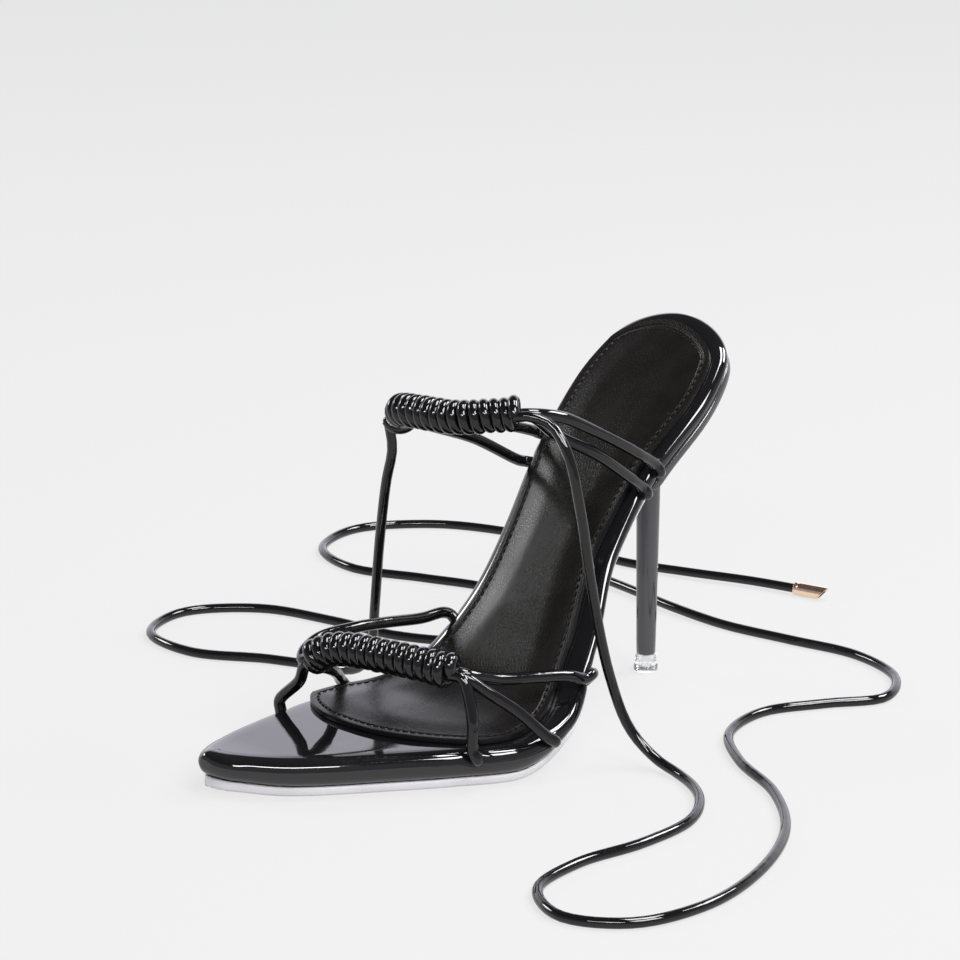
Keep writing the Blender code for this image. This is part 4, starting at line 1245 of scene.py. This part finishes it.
class SANDAL_OT_heel(bpy.types.Operator):
    """Build the stiletto heel: a cup under the seat that flares from a thin post"""
    bl_idname = "sandal.heel"
    bl_label = "Stiletto Heel"

    def execute(self, context):
        last, _, finish = settings()
        sizes = last.sizes
        breast, back = turn_of(HEEL_BREAST), math.pi
        steps = [k / 60 for k in range(61)]
        outer = [last.edge(back + (breast - back) * s, 1, sizes.heel_inset) for s in steps]
        inner = [last.edge(breast + (back - breast) * s, -1, sizes.heel_inset) for s in steps]
        plan = rounded_plan(outer + inner[:-1], 0.9 * MM, 8)
        post_y = sizes.sole_length - sizes.post_from_back
        angles = [math.atan2(p.y - post_y, p.x) for p in plan]
        foot = TIP_BOX[1].z + sizes.clearance

        def circle(radius, height):
            return [Vector((radius * math.cos(a), post_y + radius * math.sin(a), height)) + last.shift
                    for a in angles]

        rings = []
        for level, radius in ((0.0, 0.72), (0.15 * MM, 0.92), (0.45 * MM, 1.0)):
            rings.append(circle(sizes.post_radius * radius, foot + level))
        for k in range(1, 13):
            at = k / 12
            height = foot + 0.45 * MM + (sizes.neck_height - foot - 0.45 * MM) * at
            rings.append(circle(sizes.post_radius + (sizes.neck_radius - sizes.post_radius) * at, height))
        neck = rings[-1]
        rim = [last.on(p.x, p.y, last.depth(p.y) + sizes.clearance) for p in plan]
        lip = [last.on(p.x, p.y, last.depth(p.y) + sizes.clearance + sizes.heel_lip) for p in plan]
        for k in range(1, 33):
            at = k / 33
            flare = at ** 2.8
            ring = []
            for low, high in zip(neck, lip):
                spot = low.lerp(high, flare)
                spot.z = low.z + (high.z - low.z) * at ** 0.85
                ring.append(spot)
            rings.append(ring)
        rings.append(lip)
        seat = Vector((0.0, sizes.sole_length * 0.89))
        for inset in (0.0, 0.35, 0.7):
            rings.append([a.lerp(b, inset * 0.9) for a, b in zip(lip, rim)])
        for part, drop in ((0.992, 0.96), (0.97, 1.0), (0.7, 1.0), (0.35, 1.0), (0.02, 1.0)):
            ring = []
            for p in plan:
                spot = seat.lerp(p, part)
                level = last.depth(spot.y) + sizes.clearance + sizes.heel_lip * (1 - drop)
                ring.append(last.on(spot.x, spot.y, level))
            rings.append(ring)
        build = bmesh.new()
        rows = [[build.verts.new(spot) for spot in ring] for ring in rings]
        for lower, upper in zip(rows, rows[1:]):
            band(build, lower, upper)
        build.faces.new(rows[0])
        build.faces.new(rows[-1])
        heel = new_object("stiletto_heel", to_mesh(build, "stiletto_heel", merge=0.001 * MM))
        # The heel's colour is its dark lacquer lightened as a painted reflection.
        lacquer = patent_material("heel_lacquer_painted_reflection", finish.heel, 0.014, 0.00003, 0.15)
        dress(heel, lacquer, "heel_patent", "heel")
        return {"FINISHED"}


class SANDAL_OT_heel_tip(bpy.types.Operator):
    """Turn the clear tip under the heel, flared to the floor, with its peg"""
    bl_idname = "sandal.heel_tip"
    bl_label = "Clear Heel Tip"

    def execute(self, context):
        last, _, finish = settings()
        low, high = TIP_BOX
        middle = (low + high) / 2
        radius = (high.x - low.x) / 2
        tall = high.z - low.z
        for name, profile in HEEL_TIP_PROFILES.items():
            build = bmesh.new()
            rings = []
            for wide, level in profile:
                ring = []
                for k in range(40):
                    a = 2 * math.pi * k / 40
                    offset = Vector((math.cos(a), math.sin(a), 0.0)) * max(wide, 0.001) * radius
                    spot = (middle.x + offset.x, middle.y + offset.y, low.z + level * tall)
                    ring.append(build.verts.new(spot))
                rings.append(ring)
            for lower, upper in zip(rings, rings[1:]):
                band(build, lower, upper)
            build.faces.new(rings[0])
            build.faces.new(rings[-1])
            mesh = to_mesh(build, name, merge=0.0005 * MM)
            mesh.set_sharp_from_angle(angle=math.radians(50))
            piece = new_object(name, mesh)
            if name == "heel_tip_clear":
                dress(piece, clear_material(finish.clear), "clear_tip", "heel_tip")
            else:
                peg_finish = clear_material(tuple(c * 0.9 for c in finish.clear))
                dress(piece, peg_finish, "clear_tip")
        return {"FINISHED"}


# Straps

def winding(name, line, cords, material, to_ties):
    """Cord wound along a line; its ends tuck in, or lead out to the ties at the front."""
    turns = round(line_length(line) / cords.winding_pitch)
    forward = []
    for end, ahead in ((line[0], line[1] - line[0]), (line[-1], line[-1] - line[-2])):
        ahead = ahead.normalized()
        up = (UP - ahead * ahead.z).normalized()
        front = Vector((0.0, -1.0, 0.0))
        front = (front - ahead * front.dot(ahead)).normalized()
        forward.append(math.atan2(front.dot(ahead.cross(up)), front.dot(up)))
    start = forward[0]
    sweep = 2 * math.pi * turns + (forward[1] - forward[0])
    cord_radius = cords.winding_cord
    coil_radius = cords.winding_radius - cord_radius
    reach = coil_radius + cord_radius if to_ties else 0.3 * coil_radius
    path = line_object(name, line)
    geometry_modifier(path, winding_tree(), {
        "Samples": turns * 26, "Start Angle": start, "Sweep": sweep, "Coil Radius": coil_radius,
        "Start Radius": reach, "End Radius": reach, "End Share": 0.35 / turns,
        "End Growth": 0.05 if to_ties else 0.22,
        "Cord Radius": cord_radius, "Unevenness": cords.unevenness, "Material": material})
    return bake(path)


class SANDAL_OT_straps(bpy.types.Operator):
    """Run the strands from the windings into the board, and wind the cord round them"""
    bl_idname = "sandal.straps"
    bl_label = "Straps and Windings"

    def execute(self, context):
        last, cords, finish = settings()
        front, ankle, routes = all_strands(last, cords)
        wound = winding_material("wound_cord", finish.cord)
        for name, line, to_ties in (("front", front, False), ("ankle", ankle, True)):
            coil = winding(f"{name}_winding", line, cords, wound, to_ties)
            dress(coil, None, "cord", f"{name}_wrap")
        plain = cord_material("strand_cord", finish.cord)
        for name, rows in zip(("front", "ankle"), routes):
            strands = cord_piece(f"{name}_strands", rows, cords.strand_radius)
            dress(strands, plain, "cord", f"{name}_straps")
        return {"FINISHED"}


# Ties

def tie_route(last, cords, line, side):
    """Centre line of a tie: out of the winding's end, down to the floor and along it."""
    end, before = (line[0], line[1]) if side > 0 else (line[-1], line[-2])
    ahead = (end - before).normalized()
    forward = Vector((0, -1, 0))
    forward = (forward - ahead * forward.dot(ahead)).normalized()
    gap = last.sizes.clearance
    start = end + forward * (cords.core_radius + cords.tie_radius + gap) + ahead * 2 * gap
    route = [start, start + ahead * 2 * cords.tie_radius]
    route += [Vector((*point, TIE_LIES)[:3]) * MM + last.shift for point in TIE_ROUTES[side]]
    route = smooth_route(route, 2 * cords.tie_radius)
    for point in route:
        point.z = max(point.z, cords.tie_radius)
    return cut_to_length(route, cords.tie_length)


def metal_tip(name, line, cords):
    """Thin tube over a tie's end, drawn in at the cord and cut on a slant at its mouth."""
    ahead = (line[-1] - line[-3]).normalized()
    up = (UP - ahead * ahead.z).normalized()
    across = ahead.cross(up)
    origin = line[-1] - ahead * cords.tip_grip
    outer, inner = cords.tip_radius, cords.tip_radius - cords.tip_wall
    long = cords.tip_length
    slant = math.tan(METAL_TIP_SLANT)
    profile = [(inner, 0.0), (inner + 0.15 * MM, 0.0), (outer - 0.12 * MM, 0.0), (outer, 0.14 * MM)]
    profile += [(outer - 0.10 * MM, 0.9 * MM), (outer - 0.10 * MM, 1.3 * MM), (outer, 1.5 * MM)]
    profile += [(outer, long * s) for s in (0.2, 0.3, 0.4, 0.5, 0.6, 0.7, 0.8, 0.9)]
    profile += [(outer, long - 0.1 * MM), (outer - 0.1 * MM, long), (inner + 0.1 * MM, long)]
    profile += [(inner, long - 0.1 * MM)] + [(inner, long * s) for s in (0.85, 0.7, 0.55, 0.4, 0.2)]
    build = bmesh.new()
    layer = build.loops.layers.uv.verify()
    sides = 36
    rings = []
    for radius, level in profile:
        ring = []
        for k in range(sides):
            a = 2 * math.pi * k / sides
            cut = smooth_step(0.25, 1.0, level / long)
            height = level - cut * (outer - math.cos(a) * radius) * slant
            ring.append(build.verts.new(origin + ahead * height
                                        + (up * math.cos(a) + across * math.sin(a)) * radius))
        rings.append(ring)
    rings.append(rings[0])
    for row, (lower, upper) in enumerate(zip(rings, rings[1:])):
        for k in range(sides):
            made = build.faces.new((lower[k], lower[(k + 1) % sides], upper[(k + 1) % sides], upper[k]))
            for loop, (u, v) in zip(made.loops, ((row, k), (row, k + 1), (row + 1, k + 1), (row + 1, k))):
                loop[layer].uv = (u / 40, v / sides)
    bmesh.ops.recalc_face_normals(build, faces=build.faces)
    mesh = new_mesh(build, name)
    mesh.shade_smooth()
    mesh.set_sharp_from_angle(angle=math.radians(40))
    return new_object(name, mesh)


class SANDAL_OT_ties(bpy.types.Operator):
    """Lay the two long ties down to the floor and put their metal tips on"""
    bl_idname = "sandal.ties"
    bl_label = "Ties and Metal Tips"

    def execute(self, context):
        last, cords, finish = settings()
        ankle = wrap_line(last, ANKLE_WRAP_LINE, cords.ankle_height)
        material = cord_material("tie_cord", finish.cord)
        gold = rose_gold_material(finish.gold)
        for name, side, node in (("outer", 1, "lateral"), ("inner", -1, "medial")):
            route = tie_route(last, cords, ankle, side)
            tie = cord_piece(f"{name}_tie", [route], cords.tie_radius, 12)
            dress(tie, material, "cord", f"tie_{node}")
            tip = dress(metal_tip(f"{name}_tip", route, cords), gold, "rose_gold", f"tip_{node}")
        return {"FINISHED"}


# Stage

def area_light(name, place, width, height, power):
    light = bpy.data.lights.new(name, "AREA")
    light.shape = "RECTANGLE"
    light.size = width
    light.size_y = height
    light.energy = power
    lamp = new_object(name, light)
    lamp.location = place
    lamp.rotation_mode = "QUATERNION"
    lamp.rotation_quaternion = (LIT_POINT - Vector(place)).to_track_quat("-Z", "Y")


class SANDAL_OT_stage(bpy.types.Operator):
    """Set the camera, the pale floor and the studio light"""
    bl_idname = "sandal.stage"
    bl_label = "Stage"

    def execute(self, context):
        stage = context.scene.sandal_stage
        last, _, _ = settings()
        target = last.shift + AIM
        azimuth, elevation = math.radians(stage.azimuth), math.radians(stage.elevation)
        back = Vector((math.sin(azimuth) * math.cos(elevation),
                       -math.cos(azimuth) * math.cos(elevation), math.sin(elevation)))
        data = bpy.data.cameras.new("camera")
        data.lens = stage.lens
        data.sensor_width = 36.0
        data.shift_x, data.shift_y = [pixels / PICTURE_WIDTH for pixels in VIEW_MOVED]
        data.clip_start, data.clip_end = 0.05, 50.0
        camera = new_object("camera", data)
        camera.location = target + back * stage.distance
        camera.rotation_mode = "QUATERNION"
        camera.rotation_quaternion = (-back).to_track_quat("-Z", "Y")
        context.scene.camera = camera

        build = bmesh.new()
        bmesh.ops.create_circle(build, cap_ends=True, segments=96, radius=14.0)
        floor = new_object("floor", to_mesh(build, "floor"))
        floor.location.z = -0.02 * MM
        material, nodes, shader = start_material("pale_floor", stage.floor, 0.9,
                                                 Specular_IOR_Level=0.0)
        soft = nodes.noise(object_coordinates(nodes), 6.0, 4.0)
        pale = tuple(c * 0.992 for c in stage.floor)
        shader.inputs["Emission Color"].default_value = (1.0, 1.0, 1.0, 1.0)
        shader.inputs["Emission Strength"].default_value = stage.glow
        nodes.link(nodes.mix_color(soft.outputs[0], (*stage.floor, 1.0), (*pale, 1.0)),
                             shader.inputs["Base Color"])
        floor.data.materials.append(material)

        context.scene.view_settings.view_transform = "Standard"
        world = bpy.data.worlds.new("studio")
        world.use_nodes = True
        context.scene.world = world
        sky = Nodes(world.node_tree)
        ray = sky.add("ShaderNodeTexCoord").outputs["Generated"]
        across, along, rise = sky.add("ShaderNodeSeparateXYZ", {0: ray}).outputs
        fade = sky.remap(rise, math.sin(math.radians(24)), math.sin(math.radians(36)))
        behind = sky.math("MULTIPLY_ADD", along, math.cos(azimuth),
                          sky.math("MULTIPLY", across, -math.sin(azimuth)))
        bright = tuple(c * stage.horizon_strength for c in stage.horizon)
        dim = tuple(c * stage.front_share for c in bright)
        tone = sky.mix_color(sky.remap(behind, 0.20, 0.85), (*dim, 1.0), (*bright, 1.0))
        tone = sky.mix_color(fade, tone, (*stage.zenith, 1.0))
        sky.link(tone, world.node_tree.nodes["Background"].inputs["Color"])

        for name, settings_of_light in LIGHTS.items():
            area_light(name, *settings_of_light)
        return {"FINISHED"}


class SANDAL_PT_pieces(bpy.types.Panel):
    """Lists the sandal's settings and builders"""
    bl_idname = "SANDAL_PT_pieces"
    bl_label = "Lace-up Sandal"
    bl_space_type = "VIEW_3D"
    bl_region_type = "UI"
    bl_category = "Sandal"

    def draw(self, context):
        scene = context.scene
        for group in (scene.sandal_sole, scene.sandal_cords, scene.sandal_finish, scene.sandal_stage):
            box = self.layout.box()
            for name in group.__annotations__:
                box.prop(group, name)
        for operator in OPERATORS:
            self.layout.operator(operator.bl_idname)


OPERATORS = (SANDAL_OT_stage, SANDAL_OT_ties, SANDAL_OT_board, SANDAL_OT_sock, SANDAL_OT_stitches,
             SANDAL_OT_outsole, SANDAL_OT_heel, SANDAL_OT_heel_tip, SANDAL_OT_straps)
GROUPS = {"sandal_sole": SandalSoleSizes, "sandal_cords": SandalCordSizes,
          "sandal_finish": SandalFinish, "sandal_stage": SandalStage}


def register():
    for name, group in GROUPS.items():
        bpy.utils.register_class(group)
        setattr(bpy.types.Scene, name, bpy.props.PointerProperty(type=group))
    for operator in OPERATORS:
        bpy.utils.register_class(operator)
    bpy.utils.register_class(SANDAL_PT_pieces)


def unregister():
    bpy.utils.unregister_class(SANDAL_PT_pieces)
    for operator in reversed(OPERATORS):
        bpy.utils.unregister_class(operator)
    for name, group in GROUPS.items():
        delattr(bpy.types.Scene, name)
        bpy.utils.unregister_class(group)


def main():
    register()
    bpy.ops.sandal.stage()
    bpy.ops.sandal.ties()
    bpy.ops.sandal.board()
    bpy.ops.sandal.sock()
    bpy.ops.sandal.stitches()
    bpy.ops.sandal.outsole()
    bpy.ops.sandal.heel()
    bpy.ops.sandal.heel_tip()
    bpy.ops.sandal.straps()


if __name__ == "__main__":
    main()
